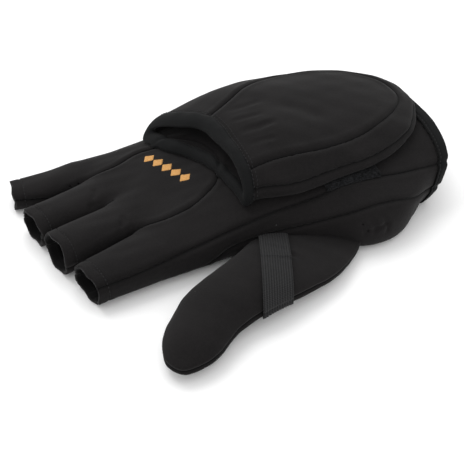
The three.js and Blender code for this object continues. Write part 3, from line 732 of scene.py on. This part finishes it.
thumb_way = (math.cos(thumb_turn), math.sin(thumb_turn))
thumb_folds = [
    ([(-12, -74, 20), (-6, -82, 21), (4, -90, 19)], 3.2, 1.1),
    ([(-22, -86, 22), (-14, -96, 20), (-4, -104, 15)], 4, 0.7),
    ([(-62, -103, 19), (-58, -110, 17), (-56, -116, 12)], 3.5, 0.5),
]


def thumb_size(name, at):
    return np.interp(at, thumb_places, thumb_curves[name])


def thumb_bend(at):
    """How far the centre line moves aside for each millimetre along the thumb."""
    aside = thumb_size("aside", at + 0.02) - thumb_size("aside", at - 0.02)
    return aside * thumb_width / (0.04 * thumb_length)


def thumb_spot(x, y):
    """Place along the thumb's bent centre line, and how far across from it."""
    dx, dy = x - thumb_base[0], y - thumb_base[1]
    along = dx * thumb_way[0] + dy * thumb_way[1]
    beside = dy * thumb_way[0] - dx * thumb_way[1]
    at = np.clip(along / thumb_length, 0, 1.1)
    for _ in range(3):
        bend = thumb_bend(at)
        ahead = along - at * thumb_length
        off = beside - thumb_size("aside", at) * thumb_width
        at = at + (ahead + off * bend) / (1 + bend**2) / thumb_length
    bend = thumb_bend(at)
    off = beside - thumb_size("aside", at) * thumb_width
    return at, (off - bend * (along - at * thumb_length)) / np.hypot(1, bend)


def over_thumb_seam(x, y, z):
    at, _ = thumb_spot(x, y)
    base = thumb_size("lift", at) * thumb_lie
    return z - base - (thumb_size("high", at) * thumb_height - base) * thumb_waist


def thumb_section(at, across, z):
    """Distance from the thumb's outline within its own section."""
    top = thumb_size("high", at) * thumb_height
    base = thumb_size("lift", at) * thumb_lie
    half = thumb_size("half", at) * thumb_width
    share = np.maximum(at - tip_start, 0) / (1 - tip_start)
    left = np.sqrt(np.maximum(1 - share**2, 0.02))
    waist = base + (top - base) * thumb_waist
    norm, slope = section_norm(across, z, half, top, base, waist, 2.2, half * 0.8, left)
    whole = np.maximum(np.hypot(norm, share), 1e-3)
    return np.clip((whole - 1) * whole / np.maximum(norm * slope, 4e-3), -60, 60)


def thumb(x, y, z):
    """Distance from the thumb's outside."""
    at, across = thumb_spot(x, y)
    off = thumb_section(at, across, z)
    ahead = (thumb_section(at + 0.004, across, z) - off) / (0.004 * thumb_length)
    distance = off / np.hypot(1, ahead)
    skin = np.abs(distance) < 9
    sx, sy, sz = x[skin], y[skin], z[skin]
    away = over_thumb_seam(sx, sy, sz)
    lift = 0.4 * unevenness(sx, sy, sz, 30, 7) + 0.14 * unevenness(sx, sy, sz, 11, 8)
    for line, width, depth in thumb_folds:
        lift += crease(sx, sy, sz, line, width, depth)
    lift += 0.5 * bell(np.abs(away) - 2.6, 1.5) - 0.9 * bell(away, 1.1)
    distance[skin] -= lift * smooth_step(1.5, 5, sz)
    return distance


def thumb_wall(x, y, z):
    """Distance from the thumb's cloth, which ends just inside the palm's cloth."""
    outside = thumb(x, y, z)
    into_palm = np.maximum(0.1 - 0.7 * smooth_step(1, 4, z) - body_skin(x, y, z), y - thumb_end_y)
    return rounded_max(np.maximum(outside, -outside - wall), into_palm, cut_edge)


# A thumb panel carries painted shade in the groove of the seam round the thumb and where its cloth meets the
# palm.
def thumb_panel(name, solid, low, high):
    points, faces = surface_of(solid, low, high, 0.8)
    seams = [(over_thumb_seam(*points.T), 1), (body_skin(*points.T), 0.9)]
    softshell_panel(name, points, faces, groove_shade_mask(points, seams))


def thumb_upper_panel(x, y, z):
    return rounded_max(thumb_wall(x, y, z), seam_gap / 2 - over_thumb_seam(x, y, z), 0.5)


def thumb_lower_panel(x, y, z):
    return rounded_max(thumb_wall(x, y, z), over_thumb_seam(x, y, z) + seam_gap / 2, 0.5)


thumb_panel("thumb_upper_panel", thumb_upper_panel, (-102, -146, 2), (66, -44, 30))
thumb_panel("thumb_lower_panel", thumb_lower_panel, (-102, -146, -2), (66, -44, 22))


# Palm panel: one softshell panel under the hand and the four fingers, lying flat. It is sewn to the side
# strip and to the back panel, and it has the hole that the thumb is sewn to.
hole_end_y = -44
hole_bottom = 3


def palm_panel(x, y, z):
    under = np.minimum(over_seam(x, y, z, lower_seam), -strip_side(x, y)) + seam_gap / 2
    cut = np.maximum(over_seam(x, y, z, upper_seam) + seam_gap / 2, under)
    cloth = rounded_max(body_wall(x, y, z), cut, cut_edge)
    hole = np.maximum(np.maximum(thumb(x, y, z) + wall, y - hole_end_y), hole_bottom - z)
    return np.maximum(cloth, -hole)


body_panel("palm_panel", palm_panel, (-132, -88, -3), (132, 66, 32), 0.92)


# Loop patch: the fuzzy half of a hook-and-loop fastener, a black woven band sewn flat on the back of the
# hand near the cuff. The folded hood is pressed onto it, so that only its end beside the hood shows.
patch_length = 36
patch_width = 96
patch_place = 55
patch_thickness = 1.5
patch_clear = 0.3
patch_near = 0.935  # its near end, as a share of half the palm's width
patch_slant = 1.5
patch_bottom = 24


def loop_patch(x, y, z):
    over = body_skin(x, y, z) - patch_clear
    low_x = patch_place - patch_length / 2
    near_y = -patch_near * palm_width / 2 - patch_slant * (x - low_x) / patch_length
    ends = np.maximum(low_x - x, x - low_x - patch_length)
    sides = np.maximum(near_y - y, y - near_y - patch_width)
    cut = np.maximum(np.maximum(ends, sides), patch_bottom - z)
    return rounded_max(np.maximum(over - patch_thickness, -over), cut, 0.6)


def lines_piece(name, lines):
    """A piece of loose edges along lines of points, for its threads to be made on."""
    starts = np.cumsum([0] + [len(line) for line in lines])
    mesh = bpy.data.meshes.new(name)
    edges = [(i, i + 1) for a, b in zip(starts, starts[1:]) for i in range(a, b - 1)]
    mesh.from_pydata((np.concatenate(lines) / 1000).tolist(), edges, [])
    piece = bpy.data.objects.new(name, mesh)
    bpy.context.scene.collection.objects.link(piece)
    return piece


def thread_tree(name, sizes):
    """A Geometry Nodes tree with a geometry and named sizes going in, and what each size's input is set to."""
    tree = bpy.data.node_groups.new(name, "GeometryNodeTree")
    tree.interface.new_socket("Geometry", in_out="INPUT", socket_type="NodeSocketGeometry")
    inputs = {}
    for size, value in sizes.items():
        socket = tree.interface.new_socket(size, in_out="INPUT", socket_type="NodeSocketFloat")
        inputs[socket.identifier] = value
    tree.interface.new_socket("Geometry", in_out="OUTPUT", socket_type="NodeSocketGeometry")
    return tree, inputs


def grow_threads(piece, tree, inputs):
    """The piece's lines become the threads that the tree makes of them."""
    grown = piece.modifiers.new("threads", "NODES")
    grown.node_group = tree
    for identifier, value in inputs.items():
        grown[identifier] = value
    made = bpy.data.meshes.new_from_object(piece.evaluated_get(bpy.context.evaluated_depsgraph_get()))
    piece.modifiers.clear()
    piece.data = made
    made.shade_smooth()


def tube_threads(name, lines, radius, sides, material):
    """Threads along lines of points, each a small tube."""
    piece = lines_piece(name, lines)
    tree, inputs = thread_tree(name, {"Thread radius": radius / 1000})
    add = tree.nodes.new
    start, end = add("NodeGroupInput"), add("NodeGroupOutput")
    path, sweep = add("GeometryNodeMeshToCurve"), add("GeometryNodeCurveToMesh")
    round_ = add("GeometryNodeCurvePrimitiveCircle")
    realize, paint = add("GeometryNodeRealizeInstances"), add("GeometryNodeSetMaterial")
    round_.inputs["Resolution"].default_value = sides
    sweep.inputs["Fill Caps"].default_value = True
    paint.inputs["Material"].default_value = material
    for a, b in ((start.outputs[0], path.inputs[0]), (start.outputs[1], round_.inputs["Radius"]),
                 (path.outputs[0], sweep.inputs["Curve"]), (round_.outputs[0], sweep.inputs["Profile Curve"]),
                 (sweep.outputs[0], realize.inputs[0]), (realize.outputs[0], paint.inputs["Geometry"]),
                 (paint.outputs[0], end.inputs[0])):
        tree.links.new(a, b)
    grow_threads(piece, tree, inputs)
    return piece


loops = Recipe("loop_pile")
fuzz = loops.grain(700, 3, 0.75) * 2.4 - 0.75
loop_colour = loops.mixed(fuzz, (0.0005, 0.0005, 0.0006, 1), (0.02, 0.0205, 0.0225, 1))
loop_pile = loops.finish(loop_colour, 0.8 + 0.1 * fuzz, fuzz, 0.0004, 0.04, 0.4)
points, faces = surface_of(loop_patch, (34, -62, 22), (76, 46, 46), 0.8)
patch = add_piece("loop_patch_cloth", points, faces)
patch.data.materials.append(loop_pile)
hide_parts("loop_patch")
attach(patch, "root")

random = np.random.default_rng(11)
top_side = body_skin(*points.T) > patch_clear + patch_thickness - 0.3
seats = points[top_side][random.permutation(top_side.sum())[:2600]]
outward = slope_of(body_skin, seats)
across = np.cross(outward, random.normal(size=(len(seats), 3)))
across /= np.linalg.norm(across, axis=1)[:, None]
turns = np.linspace(0, math.pi, 5)
hooks = [
    seat + side * 0.45 * size * np.cos(turns)[:, None] + out * 0.8 * size * np.sin(turns)[:, None]
    for seat, side, out, size in zip(seats, across, outward, random.uniform(0.6, 1.2, len(seats)))
]
pile_loops = tube_threads("loop_patch_pile", hooks, 0.1, 3, loop_pile)
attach(pile_loops, "root")


# Cuff tape: a strip of black ribbed binding, folded over the cuff's raw edge all the way round. A row of
# black lockstitch through all its layers holds it.
cuff_tape_width = 8
cuff_row_back = 6.2  # from the cuff's edge to the row of stitches
tape_puff = 1.55
tape = Recipe("binding_tape")
ribbed = tape.grain(1300, 2, 0.6)
tape_shade = ribbed * 0.5 + tape.grain(60, 2, 0.5) * 0.5
tape_colour = tape.mixed(tape_shade, (0.0016, 0.0017, 0.0018, 1), (0.0074, 0.0078, 0.0082, 1))
# Painted shade: the tape is darker in the groove at its edge and along its row of stitches.
tape_groove_shaded = tape.mixed(tape.mark("seam") * 0.8, tape_colour, (0.0012, 0.0012, 0.0013, 1))
tape_cloth = tape.finish(tape_groove_shaded, 0.68 + 0.2 * ribbed, ribbed, 0.00016, 0.04, 0.4)


def cuff_tape(x, y, z):
    inside = body_skin(x, y, z) + wall / 2
    past = past_cuff(x, z)
    middle = np.abs(inside)
    puff = tape_puff + 0.25 * bell(past + 2.5, 2.5) - 0.5 * bell(past + cuff_row_back, 0.7) * (inside > 0)
    cover = rounded_max(middle - wall / 2 - puff, np.maximum(past, -past - cuff_tape_width), 1.4)
    slot = np.maximum(middle - wall / 2 - 0.1, past + 1.4)
    return np.maximum(cover, -slot)


points, faces = surface_of(cuff_tape, (104, -68, -4), (134, 56, 48), 0.7)
x, y, z = points.T
# Painted shade in the groove at the tape's edge and, lighter, along its row of stitches.
grooves = [(past_cuff(x, z) + cuff_tape_width, 1), (past_cuff(x, z) + cuff_row_back, 0.5)]
marks = {"seam": groove_shade_mask(points, grooves)}
cuff_binding = add_piece("cuff_binding_tape", points, faces, marks)
cuff_binding.data.materials.append(tape_cloth)
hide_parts("cuff_binding")
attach(cuff_binding, "root")


def found_on(solid, start, way, level):
    """Where lines from inside a solid come out through its surface."""
    near, far = np.zeros(len(start)), np.full(len(start), 80.0)
    for _ in range(20):
        middle = (near + far) / 2
        inside = solid(*(start + way * middle[:, None]).T) < level
        near, far = np.where(inside, middle, near), np.where(inside, far, middle)
    return start + way * far[:, None]


def stitch_rows(name, rows, solid, pitch, material):
    """Rows of small stitches along lines on a surface, each row spaced out by Geometry Nodes."""
    piece = lines_piece(name, rows)
    out = piece.data.attributes.new("out", "FLOAT_VECTOR", "POINT")
    out.data.foreach_set("vector", slope_of(solid, np.concatenate(rows)).astype(np.float32).ravel())
    sizes = {"Pitch": pitch / 1000, "Stitch length": pitch * 0.38 / 1000, "Thread radius": 0.00026}
    tree, inputs = thread_tree(name, sizes)
    add = tree.nodes.new
    start, end = add("NodeGroupInput"), add("NodeGroupOutput")
    path, spaced = add("GeometryNodeMeshToCurve"), add("GeometryNodeResampleCurve")
    seat, turn = add("GeometryNodeInstanceOnPoints"), add("FunctionNodeAxesToRotation")
    along, up = add("GeometryNodeInputTangent"), add("GeometryNodeInputNamedAttribute")
    thread, size = add("GeometryNodeMeshUVSphere"), add("ShaderNodeCombineXYZ")
    realize, paint = add("GeometryNodeRealizeInstances"), add("GeometryNodeSetMaterial")
    spaced.mode = "LENGTH"
    up.data_type = "FLOAT_VECTOR"
    up.inputs["Name"].default_value = "out"
    turn.primary_axis, turn.secondary_axis = "X", "Z"
    thread.inputs["Segments"].default_value = 6
    thread.inputs["Rings"].default_value = 5
    thread.inputs["Radius"].default_value = 1
    paint.inputs["Material"].default_value = material
    for a, b in ((start.outputs[0], path.inputs[0]), (path.outputs[0], spaced.inputs["Curve"]),
                 (start.outputs["Pitch"], spaced.inputs["Length"]), (spaced.outputs[0], seat.inputs["Points"]),
                 (thread.outputs[0], seat.inputs["Instance"]), (along.outputs[0], turn.inputs[0]),
                 (up.outputs[0], turn.inputs[1]), (turn.outputs[0], seat.inputs["Rotation"]),
                 (start.outputs["Stitch length"], size.inputs[0]),
                 (start.outputs["Thread radius"], size.inputs[1]),
                 (start.outputs["Thread radius"], size.inputs[2]), (size.outputs[0], seat.inputs["Scale"]),
                 (seat.outputs[0], realize.inputs[0]), (realize.outputs[0], paint.inputs["Geometry"]),
                 (paint.outputs[0], end.inputs[0])):
        tree.links.new(a, b)
    grow_threads(piece, tree, inputs)
    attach(piece, "root")


def ring_round(solid, middle, offset, level, steps):
    """A closed line round a tube that runs along x, on its surface, at the place where offset(points) is 0."""
    turns = np.linspace(0, 2 * math.pi, steps)
    way = np.column_stack([0 * turns, np.cos(turns), np.sin(turns)])
    start = np.tile(np.array(middle, float), (steps, 1))
    for _ in range(4):
        ring = found_on(solid, start, way, level)
        start = start - offset(ring)[:, None] * np.array([1.0, 0, 0])
    return ring


sewing = Recipe("black_thread")
twist = sewing.grain(2500, 1, 0.5)
thread_shade = sewing.mixed(twist, (0.004, 0.004, 0.0042, 1), (0.034, 0.034, 0.035, 1))
black_thread = sewing.finish(thread_shade, 0.55 + 0.2 * twist, twist, 0.0001, 0.02, 0.4)
cuff_row = ring_round(
    body_skin, (110, -2, 22), lambda ring: past_cuff(ring[:, 0], ring[:, 2]) + cuff_row_back, 1.15, 260)
stitch_rows("cuff_tape_stitches", [cuff_row], body_skin, 2.6, black_thread)


# Hood: a pocket for the fingers, of three softshell panels sewn together edge to edge, here folded back
# over the hand. The under panel lies on the back of the hand, the gusset stands round it, and the top panel
# closes it.
hood_reach = 126
mouth_reach = 12
hood_width = 116
hood_rise = 28
hood_wall = 2
hood_edge = 6
hood_clear = 2.1
hood_start = -0.5 * hood_reach
hood_length = hood_reach - hood_start
hood_round = 0.65
hood_table = {
    "at": [0, 0.17, 0.29, 0.42, 0.52, 0.61, 0.78, 0.92, 1],
    "near": [0.8, 0.82, 0.85, 0.97, 0.96, 0.93, 0.88, 0.83, 0.8],
    "far": [0.8, 0.92, 0.99, 1, 0.99, 0.97, 0.92, 0.88, 0.84],
    "rise": [0.5, 0.62, 0.8, 0.97, 0.95, 0.88, 0.76, 0.62, 0.5],
    "waist": [0.05, 0.05, 0.05, 0.05, 0.05, 0.05, 0.07, 0.12, 0.16],
}
hood_places, hood_curves = smooth_curves(hood_table)
mouth_table = {
    "at": [-1.2, -0.55, -0.2, 0.17, 0.43, 0.72, 1.2],
    "ahead": [-0.16, -0.06, -0.02, 0.06, 0.22, 0.36, 0.5],
    "lean": [0.2, 0.22, 0.3, 0.48, 0.66, 0.68, 0.5],
}
mouth_places, mouth_curves = smooth_curves(mouth_table)
oval_points = [
    (-0.45, -0.6), (-0.2, -0.64), (0.01, -0.69), (0.18, -0.75), (0.37, -0.74), (0.56, -0.665), (0.69, -0.55),
    (0.81, -0.37), (0.885, -0.18), (0.91, 0.04), (0.885, 0.26), (0.8, 0.47), (0.68, 0.62), (0.52, 0.7),
    (0.36, 0.68), (0.22, 0.57), (0.06, 0.38), (-0.09, 0.25), (-0.25, 0.14), (-0.45, 0.02),
]
past_oval = plan_distance(oval_points, (hood_reach, hood_width / 2))
hood_folds = [
    ([(-2, 12, 62), (12, 8, 65), (26, 8, 66)], 3, 1.0),
    ([(-4, 0, 61), (8, -4, 64), (20, -6, 66)], 2.6, 0.9),
    ([(-3, -12, 61), (10, -16, 63), (24, -17, 65)], 3.2, 1.2),
    ([(-2, -24, 59), (9, -27, 61), (18, -30, 62)], 2.6, 0.8),
    ([(30, 0, 67), (45, -12, 66), (52, -26, 62)], 7, 0.8),
]


def past_mouth(x, y, z):
    """How far a point is behind the surface of the hood's open mouth."""
    at = 2 * y / hood_width
    lean = np.interp(at, mouth_places, mouth_curves["lean"])
    level = hand_size("top", -mouth_reach / knuckle_reach) + 0.77 * hood_rise
    lip = -mouth_reach - np.interp(at, mouth_places, mouth_curves["ahead"]) * hood_rise - lean * (level - z)
    return (x - lip) / np.hypot(1, lean)


def over_under_seam(x, z):
    """Height over the seam between the hood's under panel and its gusset."""
    return z - hand_size("top", hand_place(np.minimum(x, cuff_reach))) - 0.24 * hood_rise


def hood_section(x, y, z):
    """Distance from the hood's outline within its own section."""
    at = (x - hood_start) / hood_length
    size = {name: np.interp(at, hood_places, curve) for name, curve in hood_curves.items()}
    share = np.maximum(at - hood_round, 0) / (1 - hood_round)
    fuller = np.maximum(1 - share**2.4, 0.03) ** -0.15
    waist = hand_size("top", hand_place(np.minimum(x, cuff_reach))) + size["waist"] * hood_rise
    top = waist + (size["rise"] - size["waist"]) * hood_rise * fuller
    half = hood_width / 4 * (size["near"] + size["far"])
    across = y - hood_width / 4 * (size["far"] - size["near"])
    left = np.sqrt(np.maximum(1 - share**2.4, 0.02))
    norm, slope = section_norm(across, z, half, top, waist - hood_edge, waist, 2.2, hood_edge * 1.4, left)
    whole = np.maximum(np.sqrt(norm**2 + share**2.4), 1e-3)
    return np.clip((whole - 1) * whole / np.maximum(norm * slope, 4e-3), -60, 60)


def hood(x, y, z, seams=1):
    """Distance from the outside of the hood, as if its under side were level."""
    off = hood_section(x, y, z)
    ahead = (hood_section(x + 0.6, y, z) - off) / 0.6
    distance = off / np.hypot(1, ahead)
    skin = np.abs(distance) < 9
    sx, sy, sz = x[skin], y[skin], z[skin]
    lift = 0.7 * unevenness(sx, sy, sz, 38, 21) + 0.2 * unevenness(sx, sy, sz, 13, 22)
    for line, width, depth in hood_folds:
        lift += crease(sx, sy, sz, line, width, depth)
    under = over_under_seam(sx, sz)
    for away, there in ((under, 1), (past_oval(sx, sy), under > 0)):
        lift += seams * there * (0.35 * bell(np.abs(away) - 3.4, 2) - 0.8 * bell(away, 1.45))
    distance[skin] -= lift
    return distance


def pocket(x, y, z, seams=1):
    """Distance from the hood's outside, with its under side on the back of the hand."""
    return rounded_max(hood(x, y, z, seams), hood_clear - body_skin(x, y, z), 3)


def hood_cloth(x, y, z, outside):
    """Distance from the hood's cloth, which ends inside the mouth tape."""
    return np.maximum(np.maximum(outside, -outside - 1.12 * hood_wall), tape_inset - past_mouth(x, y, z))


def oval_cut(x, y, z, outside):
    """How far a point is past the top panel's outline, cut straight through the cloth."""
    return through_wall(past_oval, pocket, outside + hood_wall / 2, x, y, z)


def hood_under_panel(x, y, z):
    return rounded_max(hood_cloth(x, y, z, pocket(x, y, z)), over_under_seam(x, z) + seam_gap / 2, cut_edge)


def hood_gusset(x, y, z):
    outside = pocket(x, y, z)
    cut = np.maximum(seam_gap / 2 - over_under_seam(x, z), seam_gap / 2 - oval_cut(x, y, z, outside))
    return rounded_max(hood_cloth(x, y, z, outside), cut, cut_edge)


def hood_top_panel(x, y, z):
    outside = pocket(x, y, z)
    cut = np.maximum(seam_gap / 2 - over_under_seam(x, z), oval_cut(x, y, z, outside) + seam_gap / 2)
    return rounded_max(hood_cloth(x, y, z, outside), cut, cut_edge)


# Each hood panel carries painted shade in the grooves of the under seam and the oval seam.
for name, solid, low in (("hood_under_panel", hood_under_panel, 6), ("hood_gusset", hood_gusset, 30),
                         ("hood_top_panel", hood_top_panel, 38)):
    points, faces = surface_of(solid, (-42, -64, low), (130, 64, 72), 0.82)
    x, y, z = points.T
    under = over_under_seam(x, z)
    softshell_panel(name, points, faces, groove_shade_mask(points, [(under, 1), (past_oval(x, y), under > 0)]))


# Mouth tape: black ribbed binding rolled plump over both lips of the hood's mouth. One row of black
# lockstitch runs along its back, and one holds the cloth just behind it.
mouth_tape_width = 5.2
tape_row_back = 4.1
cloth_row_back = 6.6


def mouth_tape(x, y, z):
    inside = pocket(x, y, z, 0) + hood_wall / 2
    middle = np.abs(inside)
    back = past_mouth(x, y, z)
    puff = 1.65 - 0.4 * smooth_step(2, 4.2, back) + 0.1 * unevenness(x, y, z, 9, 31)
    puff = puff - 0.2 * bell(back - tape_row_back, 0.6) * (inside > 0)
    cover = rounded_max(middle - hood_wall / 2 - puff, np.maximum(-back - 0.3, back - mouth_tape_width), 2.4)
    slot = np.maximum(middle - hood_wall / 2 - 0.1, 1.4 - back)
    return np.maximum(cover, -slot)


points, faces = surface_of(mouth_tape, (-46, -64, 20), (16, 64, 68), 0.58)
# Painted shade in the groove at the tape's back edge and, lighter, along its row of stitches.
back = past_mouth(*points.T)
marks = {"seam": groove_shade_mask(points, [(back - mouth_tape_width, 1), (back - tape_row_back, 0.5)])}
hood_binding = add_piece("hood_binding_tape", points, faces, marks)
hood_binding.data.materials.append(tape_cloth)
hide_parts("hood_binding")
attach(hood_binding, "root")

lip_rows = [
    ring_round(pocket, (-8, 0, 44), lambda ring: past_mouth(*ring.T) - tape_row_back, 1.1, 300),
    ring_round(pocket, (-4, 0, 44), lambda ring: past_mouth(*ring.T) - cloth_row_back, 0.0, 300),
]
stitch_rows("mouth_tape_stitches", lip_rows, pocket, 2.4, black_thread)


# Motif: a plain row of five lozenges on the back centre panel. Each is satin-stitched in orange
# thread, of long stitches side by side that dip into the cloth at both ends.
orange = Recipe("satin_thread")
satin = orange.grain(1800, 2, 0.5)
orange_shade = orange.mixed(satin, (0.42, 0.2, 0.055, 1), (0.72, 0.42, 0.16, 1))
satin_thread = orange.finish(orange_shade, 0.42 + 0.2 * satin, satin, 0.0001, 0.02, 0.4)
row_way = np.array([0.351, -0.936])
row_side = np.array([0.936, 0.351])
row_start = np.array([-45.5, 26.5])
lozenge_pitch = 8.4
thread_pitch = 0.44
satin_lines = []
for lozenge in range(5):
    middle = row_start + row_way * lozenge_pitch * lozenge
    for along in np.arange(-3.3, 3.31, thread_pitch):
        half = 4.4 * (1 - abs(along) / 3.75)
        places = middle + row_way * along + row_side * np.linspace(-half, half, 9)[:, None]
        foot = np.column_stack([places, np.full(9, 14.0)])
        line = found_on(body_skin, foot, np.tile([0, 0, 1.0], (9, 1)), 0.05)
        line[:, 2] += np.array([-0.3, 0.1, 0.2, 0.26, 0.28, 0.26, 0.2, 0.1, -0.3])
        satin_lines.append(line)
motif = tube_threads("satin_motif", satin_lines, 0.26, 5, satin_thread)
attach(motif, "root")


# Finger hems and crotch tacks: the fingers' cut ends are turned in and held by black lockstitch all the way
# round. A short zigzag bar of thread holds the cloth at each crotch.
hem_points = 80
tack_points = 28
tack_length = 5
hem_rows = []
for finger in fingers:
    root, end = finger_line(finger)
    ahead = (end - root) / np.hypot(*(end - root))
    middle = end - ahead * hem_depth
    turns = np.linspace(0, 2 * math.pi, hem_points)
    side = np.array([-ahead[1], ahead[0], 0])
    way = np.cos(turns)[:, None] * side + np.sin(turns)[:, None] * np.array([0, 0, 1.0])
    start = np.tile([middle[0], middle[1], finger["end_high"] * finger_height * 0.5], (hem_points, 1))
    row = found_on(lambda x, y, z: finger_tube(x, y, z, finger)[0], start, way, 0)
    off = np.clip(body_skin(*row.T) - 0.1, -1, 1)
    hem_rows.append(row - slope_of(body_skin, row) * off[:, None])
stitch_rows("finger_hem_stitches", hem_rows, body_skin, 2.3, black_thread)
tack_lines = []
for tack_x, tack_y in ((-77, -29), (-82.5, 3), (-88.5, 32.5)):
    steps = np.arange(tack_points)
    tack_xs = tack_x + tack_length * steps / (tack_points - 1)
    places = np.column_stack([tack_xs, tack_y + 0.8 * (-1.0) ** steps, np.full(tack_points, 8.0)])
    tack_lines.append(found_on(body_skin, places, np.tile([0, 0, 1.0], (tack_points, 1)), 0.1))
tacks = tube_threads("crotch_tacks", tack_lines, 0.22, 5, black_thread)
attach(tacks, "root")


# Strap: a flat band of ribbed dark grey elastic. One end is sewn in at the seam on the hand's side, and the
# band runs over the thumb and is turned under it.
strap_width = 17.5
strap_thickness = 1.5
strap_turn = math.radians(247.5)
strap_start = (-1, -62)
strap_rise = 13
strap_reach = 27
strap_ribs = 12
strap_clear = 0.3


def strap_spot(x, y):
    dx, dy = x - strap_start[0], y - strap_start[1]
    c, s = math.cos(strap_turn), math.sin(strap_turn)
    return dx * c + dy * s, dy * c - dx * s


def strap_under(x, y, z):
    """Distance from what the strap lies on: the thumb, and a straight way from the hand to the thumb's crown."""
    along, _ = strap_spot(x, y)
    crown = thumb_height * 0.93 + strap_clear
    ramp = (z - strap_rise - (crown - strap_rise) * along / strap_reach) * 0.95
    way = np.maximum(np.maximum(ramp, along - strap_reach), -along - 0.4 * strap_reach)
    return blended_min(thumb(x, y, z) - strap_clear, way, 3)


def thumb_strap(x, y, z):
    along, across = strap_spot(x, y)
    under = strap_under(x, y, z)
    rib = 0.13 * np.cos(across / strap_width * 2 * math.pi * strap_ribs)
    ends = np.maximum(-along - 0.35 * strap_reach, along - 3 * strap_reach)
    band = np.maximum(np.maximum(np.abs(across) - strap_width / 2, ends), -z)
    cloth = rounded_max(np.maximum(under - strap_thickness - rib, -under), band, 0.5)
    return np.maximum(cloth, 0.4 - body_skin(x, y, z))


points, faces = surface_of(thumb_strap, (-46, -128, -3), (24, -44, 34), 0.5)
along, across = strap_spot(*points.T[:2])
elastic = Recipe("elastic")
run = elastic.mark("along")
beside = elastic.mark("across")
rows = (run * (2 * math.pi / 0.9)).wave()
# Painted shade: the elastic is darker down between its ribs and lighter on their crests.
rib_valley_shade = (beside * (2 * math.pi * strap_ribs / strap_width) + math.pi / 2).wave()
yarn = elastic.grain(1600, 2, 0.6)
strap_shade = 0.45 + 0.28 * rib_valley_shade + 0.12 * rows + 0.3 * yarn
strap_colour = elastic.mixed(strap_shade, (0.0022, 0.0022, 0.0023, 1), (0.028, 0.028, 0.0288, 1))
elastic_cloth = elastic.finish(strap_colour, 0.6 + 0.2 * yarn, rows * 0.5 + yarn * 0.5, 0.0002, 0.03, 0.4)
strap = add_piece("thumb_strap_elastic", points, faces, {"along": along, "across": across})
strap.data.materials.append(elastic_cloth)
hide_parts("thumb_strap")
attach(strap, "root")


# Floor and light: a plain white floor just under the glove, in even white light from all round. A large
# soft lamp stands above and behind it, and a weaker one in front.
floor_half = 4
floor_z = -0.0006
floor_corners = [(x * floor_half, y * floor_half, floor_z) for x, y in ((-1, -1), (1, -1), (1, 1), (-1, 1))]
floor_mesh = bpy.data.meshes.new("floor")
floor_mesh.from_pydata(floor_corners, [], [(0, 1, 2, 3)])
floor = bpy.data.objects.new("floor", floor_mesh)
bpy.context.scene.collection.objects.link(floor)
pale = Recipe("pale_floor")
dust = pale.grain(6, 2, 0.5)
pale_colour = pale.mixed(dust, (0.9, 0.9, 0.9, 1), (0.93, 0.93, 0.93, 1))
floor.data.materials.append(pale.finish(pale_colour, 0.9, dust, 0.0))

world = bpy.data.worlds.new("studio")
world.use_nodes = True
world.node_tree.nodes["Background"].inputs["Color"].default_value = (1, 1, 1, 1)
world.node_tree.nodes["Background"].inputs["Strength"].default_value = 1.0
bpy.context.scene.world = world
for name, place, size, power in (("key", (-0.1, 0.8, 1.2), 1.2, 11), ("fill", (-0.6, -1.2, 0.6), 1.2, 5)):
    lamp_data = bpy.data.lights.new(name, "AREA")
    lamp_data.size = size
    lamp_data.energy = power
    lamp = bpy.data.objects.new(name, lamp_data)
    bpy.context.scene.collection.objects.link(lamp)
    lamp.location = place
    lamp.rotation_mode = "QUATERNION"
    lamp.rotation_quaternion = Vector(place).to_track_quat("Z", "Y")
bpy.context.scene.view_settings.view_transform = "Standard"
